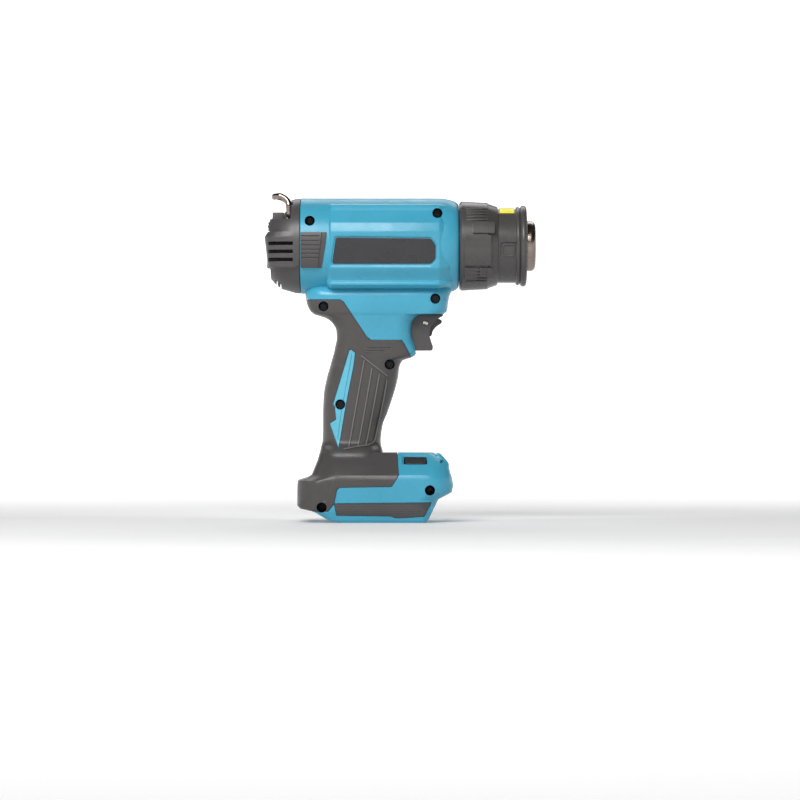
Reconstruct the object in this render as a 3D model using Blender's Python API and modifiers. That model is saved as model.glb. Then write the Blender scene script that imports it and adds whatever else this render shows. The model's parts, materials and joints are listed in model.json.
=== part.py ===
"""Cordless heat gun: a Blender 4.5 script. +X runs out of the nozzle, +Z is up and -Y is the right side.

The tool stands on the underside of its foot, at Z = 0. Lengths are written in millimetres and
turned into metres by MM where a mesh is made.
"""

import math

import bmesh
import bpy
from mathutils import Matrix, Vector

MM = 0.001
GAP = 0.3  # clearance between pieces that touch

# Driving dimensions
AXIS_Z = 178.8  # height of the barrel's axis
BARREL_R = 31.0
BARREL_WALL = 2.7
BARREL_REAR = -64.7
BARREL_FRONT = 37.8
BARREL_SIDES = 44
BORE_SIDES = 28
POD_HALF = 31.5  # half width over the flat sides of the barrel
SKIN = 2.2  # thickness of the soft overmould
WALL = 2.1  # thickness of the hard shell under it
CORE = SKIN + GAP
CAVITY = CORE + WALL
SPLIT = GAP / 2
PLAY = 0.4  # round screws and drop-in pieces
FAR = 250.0  # beyond the tool on every side, for cutters
FOOT_TOP = 44.7
ROOF_Z = 12.0  # underside of the roof of the battery slide
ROOF_WALL = 2.5
SLIDE_HALF = 27.0
SLIDE_REAR = -46.0
GROOVE_HALF = 31.0
GROOVE_Z = (4.0, 9.0)
PLATE_MARGIN = 2.2  # bare rim round the nameplate in its recess
PLATE_DEPTH = 1.0
PANEL_PROUD = 0.3
PANEL_DEPTH = 1.5
SIDE_PANEL_R = 32.3
SIDE_PANEL_GROOVES = (166.8, 171.4, 176.0, 180.6)
BUTTON_AT = (9.6, 40.5)  # x and z of the mode button on the foot's right shoulder
BUTTON_HALF = (7.2, 3.4)
BUTTON_SPAN = (-6.0, -0.6)  # under the shoulder's skin
TUBE_R = 16.3
MOUTH_R = 17.6
SPIGOT_R = 21.0
SPIGOT_FRONT = 52.0
GUARD_R = 23.95
COLLAR_R = 29.0
SCREW_HEAD_R = 2.9
SCREW_SHANK_R = 1.35
SCREW_HEAD_H = 2.2
SOCKET_R = 1.3
BOSS_R = 3.8
TRIGGER_HALF = 9.0
LEVER_HALF = 3.3
LEVER_PIVOT = (16.3, 128.8)
LEVER_BORE = 1.5
TRIGGER_SLOT = ((-8.0, 40.0), (109.4, 135.1))
SWITCH = ((-30.0, -8.4), (-9.5, 9.5), (111.0, 131.0))
SWITCH_TERMINALS = ((-27.0, -12.0), (-7.5, 7.5), (130.5, 132.4))
PLUNGER_R = 2.4
PLUNGER_Z = 122.0
HOOK_PIVOT = (-71.8, 198.2)
HOOK_HALF = 12.5
WIRE_R = 2.0
DIAL_CENTRE = (-79.2, 191.4)
DIAL_R = 7.0
DIAL_HALF = 3.5
DIAL_TEETH = 12
DIAL_BORE = 1.8
STEM_R = 1.5
POTENTIOMETER = ((-81.4, -73.2), (8.4, 13.0), (185.9, 192.2))
COVER_SEAM = -65.0
COVER_WALL = 2.4
COVER_LEDGE = (-70.9, 195.7)  # the step the hook folds over
HOOD = ((-82.9, -75.4), (-8.0, 8.0), (194.0, 200.4))
LUG_R = 3.6
LUG_HALF = 9.6
GRILLE = ((163.6, -84.6), (184.0, -87.7), (187.2, -87.2))  # z and rear x of the vented block
GRILLE_FOOTPRINT = (-60.0, 28.6, 10.0)  # its front x, half width and corner radius
GRILLE_SLOTS = ((178.4, 180.7), (173.2, 175.5), (168.0, 170.3))
GRILLE_BACK_HALF = 13.0
UNDER_SLOTS = (-80.2, -76.4, -72.6)
FAN_R = 23.5
FAN_BLADES = 7
BLADE_PITCH = 28.0
SHAFT_R = 1.4
MOTOR_R = 14.0
DUCT_R = 27.8  # rings that sit in the barrel's bore
MOUNT_SPOKES = 4
COIL_START = 4.0
COIL_R = 12.4
COIL_TURNS = 7
COIL_PITCH = 7.5
COIL_STEPS = 10  # straight pieces in each turn
BLADE_Y = 8.0  # of the battery terminals
TERMINAL_BLOCK = ((-44.0, -30.0), (-14.0, 14.0), (3.0, 22.0))
TERMINAL_FLANGE = ((-44.0, -28.0), (-17.0, 17.0), (15.0, 20.0))
BOARD = ((-45.0, 12.0), (-25.0, 25.0), (25.0, 26.6))

# Parts on the control board: x, y, height above it and width.
BOARD_PARTS = ((-36, -12, 6, 9), (-36, 12, 4, 8), (2, 14, 4, 6), (-4, 2, 3, 7))
# Centre lines of the leads, from foot to switch and from switch to motor.
POWER_LEADS = (
    (-26, -4, 27.0),
    (-27, -4, 45),
    (-30, -4, 62),
    (-26, -4, 84),
    (-22, -4, 98),
    (-19, -4, 110.6),
)
MOTOR_LEADS = (
    (-20, 4, 132.8),
    (-21, 4, 142),
    (-16, 5, 154),
    (-10.8, 6, 164),
    (-10.6, 6, 176),
)

# Screws through the clamshell: x, z, and from the split plane the depth of the head's seat and
# the reach of the boss, which ends inside the wall.
SCREWS = (
    (-58.4, 194.2, 14.0, 23.0),
    (23.8, 199.2, 12.0, 17.5),
    (22.5, 144.2, 12.0, 18.0),
    (-49.7, 139.2, 11.0, 15.5),
    (-7.0, 101.8, 6.5, 9.0),
    (-38.9, 75.9, 9.0, 13.0),
    (-50.5, 9.9, 12.0, 35.0),
    (18.9, 20.9, 12.0, 36.0),
)
SCREW_REACH = 8.5  # how far a shank runs into the left half

# Level sections: z, rear x, front x, half width, corner radius.
HANDLE = (
    (36.0, -54.5, -10.5, 18.5, 9.0),
    (46.0, -52.0, -12.0, 17.8, 9.5),
    (52.4, -50.6, -12.8, 17.4, 10.0),
    (62.1, -50.3, -11.7, 17.2, 10.0),
    (71.0, -50.3, -8.3, 17.2, 10.0),
    (82.2, -49.8, -4.6, 17.3, 10.0),
    (93.4, -47.8, -1.6, 17.5, 10.0),
    (100.9, -45.6, -0.5, 17.6, 10.0),
    (104.6, -44.6, 1.4, 17.7, 10.0),
    (106.6, -44.0, 7.6, 17.8, 8.5),
    (109.0, -43.2, 10.2, 17.9, 8.5),
    (113.5, -42.3, 9.4, 18.1, 8.5),
    (119.0, -41.3, 7.6, 18.4, 8.5),
    (124.0, -41.6, 6.9, 18.8, 8.5),
    (128.9, -44.3, 7.4, 19.3, 8.5),
    (132.2, -48.6, 9.6, 19.7, 8.5),
    (134.2, -55.0, 13.0, 20.0, 9.0),
    (134.5, -56.0, 27.8, 20.2, 10.0),
    (137.5, -59.0, 30.4, 20.6, 11.0),
    (142.0, -60.8, 31.0, 21.4, 12.0),
    (146.4, -61.6, 31.9, 22.4, 12.0),
    (151.0, -62.6, 34.5, 23.6, 12.0),
    (158.0, -62.6, 34.5, 25.0, 12.0),
)
FOOT = (
    (0.0, -39.1, 16.6, 36.0, 3.0),
    (1.6, -46.3, 17.8, 37.6, 4.0),
    (7.0, -55.4, 20.4, 39.5, 5.0),
    (9.0, -64.2, 21.4, 39.5, 5.0),
    (10.9, -66.4, 22.5, 39.5, 5.0),
    (14.8, -66.5, 24.3, 39.5, 6.0),
    (19.3, -66.5, 33.0, 39.5, 8.0),
    (24.0, -66.5, 34.1, 39.5, 9.0),
    (26.9, -66.2, 33.6, 39.5, 9.0),
    (28.6, -60.6, 33.4, 39.3, 9.0),
    (30.7, -57.3, 32.6, 38.4, 9.0),
    (39.4, -53.8, 30.3, 28.6, 9.0),
    (FOOT_TOP, -52.3, 21.6, 22.5, 8.0),
)

# Side outlines, as x and z.
SOFT_AREA = (
    (-74.0, 145.6),
    (-61.0, 144.6),
    (-59.8, 143.4),
    (-38.9, 143.4),
    (-36.7, 141.9),
    (-21.8, 119.5),
    (-18.8, 117.3),
    (0.7, 117.3),
    (2.9, 114.3),
    (6.6, 106.9),
    (14.0, 103.0),
    (14.0, 60.0),
    (-2.1, 50.0),
    (-2.1, 43.9),
    (-1.2, 30.7),
    (-5.8, 23.5),
    (-39.1, 23.0),
    (-40.9, 21.2),
    (-42.6, 12.6),
    (-46.5, 7.6),
    (-74.0, 7.6),
)
FLASH = (
    (-31.9, 111.3),
    (-29.3, 109.1),
    (-30.4, 100.9),
    (-35.2, 76.2),
    (-36.7, 67.3),
    (-40.0, 47.9),
    (-45.6, 63.6),
    (-41.5, 66.2),
    (-42.4, 74.5),
    (-43.4, 76.2),
    (-33.0, 110.6),
)
FOOT_PANEL = (
    (-42.3, 12.3),
    (19.6, 12.9),
    (15.2, 4.4),
    (0.2, 3.4),
    (-5.3, 4.0),
    (-40.8, 5.0),
)
SIDE_PANEL = ((-64.3, 186.6), (-47.3, 186.6), (-48.2, 178.0), (-50.7, 163.7), (-64.3, 163.7))
NAMEPLATE = (
    (-41.5, 183.3),
    (19.4, 182.5),
    (22.4, 178.7),
    (22.4, 169.5),
    (19.4, 166.5),
    (-43.9, 166.5),
)
POD_SECTION = (
    (0.0, 205.0),
    (15.0, 204.6),
    (23.0, 199.9),
    (28.8, 192.1),
    (POD_HALF, 186.7),
    (POD_HALF, 163.4),
    (25.5, 154.4),
    (17.0, 152.0),
    (0.0, 152.0),
)
TRIGGER = (
    (0.3, 133.6),
    (13.3, 134.2),
    (28.0, 134.2),
    (27.9, 133.6),
    (24.9, 132.1),
    (20.2, 127.2),
    (18.9, 123.6),
    (18.9, 120.0),
    (20.0, 116.4),
    (21.2, 113.2),
    (20.7, 110.9),
    (0.3, 110.9),
)
LEVER = (
    (13.6, 131.0),
    (17.6, 131.4),
    (22.0, 131.2),
    (25.2, 131.6),
    (27.0, 130.4),
    (26.9, 128.8),
    (23.4, 126.6),
    (21.0, 123.8),
    (20.2, 120.2),
    (17.2, 120.2),
    (15.4, 124.8),
    (13.4, 127.0),
)

MATERIALS = {
    "body_blue": ((0.045, 0.300, 0.430), 0.42, 0.0),
    "soft_grip": ((0.080, 0.074, 0.076), 0.75, 0.0),
    "dark_plastic": ((0.095, 0.088, 0.090), 0.50, 0.0),
    "plate_grey": ((0.075, 0.070, 0.072), 0.40, 0.0),
    "chrome_wire": ((0.62, 0.59, 0.55), 0.18, 1.0),
    "nozzle_steel": ((0.46, 0.40, 0.36), 0.30, 1.0),
    "label_yellow": ((0.85, 0.78, 0.04), 0.45, 0.0),
    "black_screw": ((0.018, 0.019, 0.021), 0.38, 1.0),
    "motor_steel": ((0.50, 0.50, 0.51), 0.35, 1.0),
    "mica": ((0.62, 0.52, 0.34), 0.45, 0.0),
    "ceramic": ((0.83, 0.80, 0.73), 0.70, 0.0),
    "resistance_wire": ((0.40, 0.36, 0.32), 0.35, 1.0),
    "fan_white": ((0.70, 0.70, 0.68), 0.45, 0.0),
    "circuit_board": ((0.02, 0.20, 0.08), 0.45, 0.0),
    "terminal_brass": ((0.75, 0.55, 0.22), 0.28, 1.0),
    "lead_rubber": ((0.30, 0.02, 0.02), 0.55, 0.0),
}

PARTS = "heat_gun"
CUTTERS = "cutters"
X_AXIS = Matrix.Rotation(math.radians(90), 4, "Y")  # local Z to world X, local X to world -Z
Y_AXIS = Matrix.Rotation(math.radians(-90), 4, "X")  # local Z to world Y


def clear_scene():
    for obj in list(bpy.context.scene.objects):
        bpy.data.objects.remove(obj)
    for name in (PARTS, CUTTERS):
        bpy.context.scene.collection.children.link(bpy.data.collections.new(name))


def make_materials():
    for name, (colour, roughness, metallic) in MATERIALS.items():
        material = bpy.data.materials.new(name)
        material.use_nodes = True
        shader = material.node_tree.nodes["Principled BSDF"]
        shader.inputs["Base Color"].default_value = (*colour, 1.0)
        shader.inputs["Roughness"].default_value = roughness
        shader.inputs["Metallic"].default_value = metallic


# ---------------------------------------------------------------- shapes, as meshes in world space


def mesh_of(bm, name="shape"):
    bmesh.ops.recalc_face_normals(bm, faces=bm.faces)
    mesh = bpy.data.meshes.new(name)
    bm.to_mesh(mesh)
    bm.free()
    return mesh


def evaluated(obj):
    """The mesh of an object after its modifiers, in world space."""
    graph = bpy.context.evaluated_depsgraph_get()
    mesh = bpy.data.meshes.new_from_object(obj.evaluated_get(graph))
    mesh.transform(obj.matrix_world)
    return mesh


def baked(data, matrix, modifier=None):
    """A curve or a profile turned into a closed mesh in world space."""
    guide = bpy.data.objects.new("guide", data)
    guide.matrix_world = matrix
    bpy.data.collections[CUTTERS].objects.link(guide)
    if modifier:
        modifier(guide)
    bpy.context.view_layer.update()
    bm = bmesh.new()
    bm.from_mesh(evaluated(guide))
    bpy.data.objects.remove(guide)
    bmesh.ops.remove_doubles(bm, verts=bm.verts, dist=1e-6)
    return mesh_of(bm)


def widened(spans, by):
    return [(low - by, high + by) for low, high in spans]


def box(x, y, z):
    """A block between two x, two y and two z."""
    spans = (x, y, z)
    middle = Vector([(low + high) / 2 for low, high in spans]) * MM
    size = Matrix.Diagonal([(high - low) * MM for low, high in spans] + [1.0])
    bm = bmesh.new()
    bmesh.ops.create_cube(bm, size=1.0, matrix=Matrix.Translation(middle) @ size)
    return mesh_of(bm)


def rod(axis, start, end, radius, at, sides=16, end_radius=None):
    """A round bar along X or Y, from start to end, at the other two coordinates."""
    bm = bmesh.new()
    middle = (start + end) / 2
    centre = (middle, *at) if axis == "X" else (at[0], middle, at[1])
    turn = X_AXIS if axis == "X" else Y_AXIS
    bmesh.ops.create_cone(
        bm,
        cap_ends=True,
        segments=sides,
        radius1=radius * MM,
        radius2=(end_radius or radius) * MM,
        depth=(end - start) * MM,
        matrix=Matrix.Translation(Vector(centre) * MM) @ turn,
    )
    return mesh_of(bm)


def turned(profile, sides=48, phase=0.0):
    """A shape turned about the barrel's axis: points of the profile are x and radius, in order.

    A phase in degrees keeps a cutter's edges off those of the shape it cuts.
    """
    data = bpy.data.meshes.new("profile")
    points = [(radius * MM, 0.0, x * MM) for x, radius in profile]
    closed = min(radius for _, radius in profile) > 0
    last = len(points) if closed else len(points) - 1
    edges = [(i, (i + 1) % len(points)) for i in range(last)]
    data.from_pydata(points, edges, [])

    def screw(obj):
        turn = obj.modifiers.new("turn", "SCREW")
        turn.steps = turn.render_steps = sides
        turn.use_merge_vertices = True
        turn.merge_threshold = 0.00001

    turn = X_AXIS @ Matrix.Rotation(math.radians(phase), 4, "Z")
    return baked(data, Matrix.Translation((0, 0, AXIS_Z * MM)) @ turn, screw)


def ring(x, outer, inner, sides=32, phase=0.0):
    """A plain ring about the barrel's axis, between two x."""
    back, front = x
    return turned([(front, outer), (back, outer), (back, inner), (front, inner)], sides, phase)


def arc(x, radius, size, degrees):
    """Points of a profile on an ellipse: its centre, its half sizes and the angles in order."""
    angles = [math.radians(value) for value in degrees]
    return [(x + size[0] * math.cos(a), radius + size[1] * math.sin(a)) for a in angles]


def about_barrel(mesh, degrees):
    """A mesh made round the X axis, carried to the barrel's axis and turned about it."""
    turn = Matrix.Rotation(math.radians(degrees), 4, "X")
    mesh.transform(Matrix.Translation((0, 0, AXIS_Z * MM)) @ turn)
    return mesh


def prism(outline, y_from, y_to):
    """A flat outline of x and z, with its thickness along Y."""
    curve = bpy.data.curves.new("outline", "CURVE")
    curve.dimensions = "2D"
    curve.fill_mode = "BOTH"
    curve.extrude = abs(y_to - y_from) / 2 * MM
    spline = curve.splines.new("POLY")
    spline.points.add(len(outline) - 1)
    for point, (x, z) in zip(spline.points, outline):
        point.co = (x * MM, z * MM, 0, 1)
    spline.use_cyclic_u = True
    middle = Matrix.Translation((0, (y_from + y_to) / 2 * MM, 0))
    return baked(curve, middle @ Matrix.Rotation(math.radians(90), 4, "X"))


def wire(points, radius, resolution=2, cyclic=False):
    """A round wire through x, y, z points."""
    curve = bpy.data.curves.new("wire", "CURVE")
    curve.dimensions = "3D"
    curve.bevel_depth = radius * MM
    curve.bevel_resolution = resolution
    curve.use_fill_caps = True
    spline = curve.splines.new("POLY")
    spline.points.add(len(points) - 1)
    for point, place in zip(spline.points, points):
        point.co = (*(value * MM for value in place), 1)
    spline.use_cyclic_u = cyclic
    return baked(curve, Matrix.Identity(4))


def level_ring(section, inset):
    """The points of a rectangle with round corners, at one height, moved inwards by inset."""
    steps = 2 if inset > 1 else 3
    z, rear, front, half, radius = section
    rear, front, half = rear + inset, front - inset, half - inset
    radius = max(radius - inset, 1.0)
    corners = ((front, half, 0), (rear, half, 90), (rear, -half, 180), (front, -half, 270))
    ring = []
    for x, y, start in corners:
        cx = x - math.copysign(radius, x - (rear + front) / 2)
        cy = y - math.copysign(radius, y)
        for step in range(steps + 1):
            angle = math.radians(start + 90 * step / steps)
            ring.append((cx + radius * math.cos(angle), cy + radius * math.sin(angle), z))
    return ring


def loft(rings):
    """A closed skin over rings with the same number of points."""
    bm = bmesh.new()
    loops = [[bm.verts.new(Vector(p) * MM) for p in ring] for ring in rings]
    for lower, upper in zip(loops, loops[1:]):
        for i in range(len(lower)):
            j = (i + 1) % len(lower)
            bm.faces.new((lower[i], lower[j], upper[j], upper[i]))
    bm.faces.new(loops[0])
    bm.faces.new(loops[-1])
    return mesh_of(bm)


def lofted(sections, inset=0.0, low=0.0, high=0.0, every=1):
    """A loft over level sections, inset all round; low and high shorten its ends."""
    first, last = sections[0][0] + low, sections[-1][0] - high
    inside = [section for section in sections[::every] if first < section[0] < last]
    ends = [(first, *sections[0][1:])] + inside + [(last, *sections[-1][1:])]
    return loft([level_ring(section, inset) for section in ends])


def hull(points):
    bm = bmesh.new()
    for point in points:
        bm.verts.new(Vector(point) * MM)
    found = bmesh.ops.convex_hull(bm, input=bm.verts)
    inner = {v for v in found["geom_interior"] if isinstance(v, bmesh.types.BMVert)}
    bmesh.ops.delete(bm, geom=list(inner), context="VERTS")
    return mesh_of(bm)


def grown(outline, distance):
    """An outline moved outwards by a distance, corner by corner."""
    count = len(outline)
    area = sum(
        outline[i][0] * outline[(i + 1) % count][1] - outline[(i + 1) % count][0] * outline[i][1]
        for i in range(count)
    )
    side = 1.0 if area > 0 else -1.0
    moved = []
    for i in range(count):
        here = Vector(outline[i])
        before = (here - Vector(outline[i - 1])).normalized()
        after = (Vector(outline[(i + 1) % count]) - here).normalized()
        out = Vector((before.y + after.y, -before.x - after.x)).normalized() * side
        reach = max(out.dot(Vector((after.y, -after.x)) * side), 0.4)
        moved.append(tuple(here + out * distance / reach))
    return moved


# ---------------------------------------------------------------- objects


def place(name, mesh, material, origin=(0.0, 0.0, 0.0)):
    """A part: its mesh moves so that the object's origin is at the given point."""
    start = Vector(origin) * MM
    mesh.name = name
    mesh.transform(Matrix.Translation(-start))
    mesh.materials.clear()
    mesh.materials.append(bpy.data.materials[material])
    mesh.shade_smooth()
    mesh.set_sharp_from_angle(angle=math.radians(30))
    obj = bpy.data.objects.new(name, mesh)
    obj.location = start
    bpy.data.collections[PARTS].objects.link(obj)
    return obj


def shape_with(obj, operation, meshes):
    """Adds one Boolean for each mesh, which becomes a cutter."""
    for mesh in meshes:
        cutter = bpy.data.objects.new(f"{obj.name}_{operation.lower()}", mesh)
        cutter.hide_render = True
        cutter.display_type = "WIRE"
        bpy.data.collections[CUTTERS].objects.link(cutter)
        modifier = obj.modifiers.new(operation.lower(), "BOOLEAN")
        modifier.operation = operation
        modifier.solver = "EXACT"
        modifier.object = cutter


def cut(obj, *meshes):
    shape_with(obj, "DIFFERENCE", meshes)


def add(obj, *meshes):
    shape_with(obj, "UNION", meshes)


def keep(obj, *meshes):
    shape_with(obj, "INTERSECT", meshes)


def settled(obj):
    """The finished mesh of an object that was only a step towards others."""
    bpy.context.view_layer.update()
    mesh = evaluated(obj)
    for modifier in obj.modifiers:
        bpy.data.objects.remove(modifier.object)
    bpy.data.objects.remove(obj)
    return mesh


def half_space(side):
    """All of the tool's room on one side of the split plane."""
    return box((-FAR, FAR), sorted((side * SPLIT, side * FAR)), (-FAR, FAR))


# ---------------------------------------------------------------- casings


def barrel_profile():
    """The solid barrel, with a rounded shoulder and the spigot that carries the collar."""
    nose = arc(24.0, BARREL_R - 5.1, (BARREL_FRONT - 24.0, 5.1), (0, 22.5, 45, 67.5, 90))
    spigot = [(SPIGOT_FRONT, 0.0), (SPIGOT_FRONT, SPIGOT_R), (BARREL_FRONT, SPIGOT_R)]
    return [*spigot, *nose, (BARREL_REAR, BARREL_R), (BARREL_REAR, 0.0)]


def pod():
    """The faceted bulge on both sides of the barrel, with slanted ends."""
    points = []
    for x, inward in ((-46.5, 3.4), (-44.5, 0.0), (25.0, 0.0), (33.0, 6.0)):
        for y, z in POD_SECTION:
            for side in (-1, 1):
                points.append((x, side * max(y - inward, 0), z + (AXIS_Z - z) * inward * 0.012))
    return hull(points)


def blue_body():
    """Both halves of the hard shell in one, before it is split and drilled."""
    whole = place("whole", lofted(HANDLE), "body_blue")
    add(whole, lofted(FOOT))
    cut(whole, prism(grown(SOFT_AREA, GAP), -60, 60))
    add(whole, lofted(HANDLE, CORE, low=0.5, high=0.5, every=2))
    add(whole, lofted(FOOT, CORE, low=1.0, high=CORE))
    add(whole, turned(barrel_profile(), BARREL_SIDES), pod())
    cut(whole, turned(bore_profile(), BORE_SIDES, 1.7))
    cut(whole, lofted(HANDLE, CAVITY, low=-6.0, high=1.0, every=2))
    cut(whole, lofted(FOOT, CAVITY, low=ROOF_Z + ROOF_WALL, high=CAVITY))
    return settled(whole)


def bore_profile():
    """The room inside the barrel, and the mouth at its front."""
    inner = BARREL_R - BARREL_WALL
    return [
        (60.0, 0.0),
        (60.0, MOUTH_R),
        (35.0, MOUTH_R),
        (35.0, 22.6),
        (22.0, inner),
        (-80.0, inner),
        (-80.0, 0.0),
    ]


def make_housing(side, body):
    """One clamshell half: side is -1 on the right and 1 on the left."""
    name = "housing_right" if side < 0 else "housing_left"
    half = place(name, body.copy(), "body_blue")
    for x, z, _, reach in SCREWS:
        add(half, rod("Y", *sorted((side * reach, 0.0)), BOSS_R, (x, z), 12))
    keep(half, half_space(side))
    for x, z, seat, _ in SCREWS:
        if side < 0:
            cut(half, rod("Y", -60, -seat + GAP, SCREW_HEAD_R + PLAY, (x, z)))
            cut(half, rod("Y", -seat - 1, 5, SCREW_SHANK_R + PLAY, (x, z), 8))
        else:
            cut(half, rod("Y", -5, SCREW_REACH + 1, SCREW_SHANK_R + PLAY, (x, z), 8))
    cut(half, box((SLIDE_REAR, 60), (-SLIDE_HALF, SLIDE_HALF), (-5, ROOF_Z)))
    cut(half, box((SLIDE_REAR, 60), (-GROOVE_HALF, GROOVE_HALF), GROOVE_Z))
    cut(half, box(*widened(TERMINAL_BLOCK, PLAY)))
    reach = TRIGGER_HALF + PLAY
    cut(half, box(TRIGGER_SLOT[0], (-reach, reach), TRIGGER_SLOT[1]))
    cut(half, prism(grown(NAMEPLATE, PLATE_MARGIN), side * (POD_HALF - PLATE_DEPTH), side * 50))
    cut(half, foot_panel_mesh(side, grown(FOOT_PANEL, GAP), -3.0, PANEL_DEPTH + GAP))
    if side < 0:
        cut(half, button_block(GAP, (-9.0, 6.0)))


def make_grip(side):
    """The soft overmould: handle and rear of the foot, with a window for the insert."""
    name = "grip_right" if side < 0 else "grip_left"
    grip = place(name, lofted(HANDLE), "soft_grip")
    add(grip, lofted(FOOT))
    cut(grip, lofted(HANDLE, SKIN, low=-1.0, high=-1.0, every=2), lofted(FOOT, SKIN, low=-2.0, high=SKIN))
    keep(grip, prism(SOFT_AREA, *sorted((side * SPLIT, side * 60))))
    cut(grip, prism(grown(FLASH, GAP), side * 10, side * 60))
    for x, z, _, _ in SCREWS:
        if side < 0:
            cut(grip, rod("Y", -60, 60, SCREW_HEAD_R + PLAY, (x, z)))


def make_insert(side):
    name = "grip_insert_right" if side < 0 else "grip_insert_left"
    insert = place(name, lofted(HANDLE, -0.2), "body_blue")
    cut(insert, lofted(HANDLE, SKIN, low=-3.0, high=-3.0, every=2))
    keep(insert, prism(FLASH, *sorted((side * 10, side * 60))))
    if side < 0:
        x, z, _, _ = SCREWS[5]
        cut(insert, rod("Y", -60, 0, SCREW_HEAD_R + PLAY, (x, z)))


def foot_panel_mesh(side, outline, outer, inner):
    """A piece of the foot's skin between two insets, within an outline."""
    step = place("step", lofted(FOOT, outer, low=0.5 * outer), "dark_plastic")
    cut(step, lofted(FOOT, inner, low=-6.0, high=-6.0))
    keep(step, prism(outline, *sorted((side * 20, side * 60))))
    return settled(step)


def make_foot_panel(side):
    name = "foot_panel_right" if side < 0 else "foot_panel_left"
    place(name, foot_panel_mesh(side, FOOT_PANEL, -PANEL_PROUD, PANEL_DEPTH), "dark_plastic")


def make_side_panel(side):
    """The ribbed grey panel at the back of the barrel."""
    name = "side_panel_right" if side < 0 else "side_panel_left"
    panel = place(name, ring((-70, -40), SIDE_PANEL_R, BARREL_R + GAP, 64), "dark_plastic")
    keep(panel, prism(SIDE_PANEL, *sorted((side * 5, side * 60))))
    for z in SIDE_PANEL_GROOVES:
        cut(panel, box((-66, -52), sorted((side * 20, side * 60)), (z, z + 0.8)))


def make_nameplate(side):
    name = "nameplate_right" if side < 0 else "nameplate_left"
    inner = side * (POD_HALF - PLATE_DEPTH + GAP)
    place(name, prism(NAMEPLATE, inner, side * (POD_HALF - 0.05)), "plate_grey")


# ---------------------------------------------------------------- rear cover, hook and dial


def cover_profile(inset=0.0):
    """The round cup of the rear cover, or the room inside it when it is inset."""
    outer = [(-64.0, 31.0), (-68.0, 30.6), (-77.0, 28.0), (-80.8, 25.2), (-84.0, 21.6)]
    points = [(x + inset, radius - inset) for x, radius in outer]
    open_end = points[0][0] + 8 if inset else points[0][0]
    return [(open_end, 0.0), *points, (points[-1][0], 0.0)]


def make_rear_cover():
    """A vented cup with the dial's hood and the hook's lug on its back."""
    cover = place("rear_cover", turned(cover_profile(), BARREL_SIDES), "dark_plastic")
    add(cover, loft([level_ring((z, rear, *GRILLE_FOOTPRINT), 0.0) for z, rear in GRILLE]))
    keep(cover, box((-FAR, COVER_SEAM), (-FAR, FAR), (-FAR, FAR)))
    ledge_x, ledge_z = COVER_LEDGE
    cut(cover, box((-FAR, ledge_x), (-FAR, FAR), (ledge_z, FAR)))
    for side in (-1, 1):
        leg = sorted((side * (HOOK_HALF - WIRE_R - PLAY), side * (HOOK_HALF + WIRE_R + PLAY)))
        cut(cover, box((-75, HOOK_PIVOT[0] + WIRE_R + PLAY), leg, (ledge_z, FAR)))
    add(cover, box(*HOOD))
    add(cover, rod("Y", -LUG_HALF, LUG_HALF, LUG_R, HOOK_PIVOT, 20))
    room = place("room", turned(cover_profile(COVER_WALL), BORE_SIDES, 1.7), "dark_plastic")
    cut(room, box((-FAR, -67.5), (-FAR, FAR), (ledge_z - COVER_WALL, FAR)))
    cut(cover, settled(room))
    for level in GRILLE_SLOTS:
        cut(cover, box((-95, -80), (-GRILLE_BACK_HALF, GRILLE_BACK_HALF), level))
        for side in (-1, 1):
            cut(cover, box((-84, -69.2), sorted((side * 17, side * 40)), level))
    for x in UNDER_SLOTS:
        cut(cover, box((x, x + 1.6), (-14, 14), (140, 157)))
    dial_x, dial_z = DIAL_CENTRE
    well = DIAL_HALF + 0.6
    cut(cover, rod("Y", -well, well, DIAL_R + 0.6, DIAL_CENTRE, 32))
    cut(cover, box((-95, dial_x), (-well, well), (dial_z - well, dial_z + 5.0)))
    cut(cover, rod("Y", -20, 20, WIRE_R + GAP, HOOK_PIVOT))
    cut(cover, rod("Y", DIAL_HALF - 0.5, HOOD[1][1] - 1.0, STEM_R + PLAY, DIAL_CENTRE, 16))


def hook_path():
    """Half of the bail, from the end of its pivot stub round to the middle of the tip."""
    x, z = HOOK_PIVOT
    out = -HOOK_HALF
    path = [(x, -6.2, z), (x, out + 2.2, z), (x, out + 0.6, z + 0.5), (x, out, z + 2.2)]
    for step in range(6):
        angle = math.radians(15 * step)
        back, up = 8.4 * (1 - math.cos(angle)), 7.0 * math.sin(angle)
        path.append((x - 0.4 - back, out + 0.45 * step, z + 6.0 + up))
    return [*path, (x - 9.2, out + 5.0, z + 12.6), (x - 10.0, -4.0, z + 12.4)]


def make_hook():
    half = hook_path()
    other = [(x, -y, z) for x, y, z in reversed(half)]
    origin = (HOOK_PIVOT[0], 0.0, HOOK_PIVOT[1])
    place("hanging_hook", wire(half + other, WIRE_R), "chrome_wire", origin)


def make_dial():
    """A coarse thumbwheel: a disc with notches in its edge."""
    x, z = DIAL_CENTRE
    wheel = rod("Y", -DIAL_HALF, DIAL_HALF, DIAL_R, DIAL_CENTRE, 48)
    dial = place("temperature_dial", wheel, "dark_plastic", (x, 0.0, z))
    for step in range(DIAL_TEETH):
        angle = math.tau * (step + 0.5) / DIAL_TEETH
        at = (x + DIAL_R * math.cos(angle), z + DIAL_R * math.sin(angle))
        cut(dial, rod("Y", -9, 9, 1.0, at, 6))
    cut(dial, rod("Y", -9, 9, DIAL_BORE, DIAL_CENTRE, 16))


def make_potentiometer():
    pot = place("dial_potentiometer", box(*POTENTIOMETER), "motor_steel")
    add(pot, rod("Y", GAP - DIAL_HALF, POTENTIOMETER[1][0] + 0.6, STEM_R, DIAL_CENTRE, 16))


# ---------------------------------------------------------------- nozzle end


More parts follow.
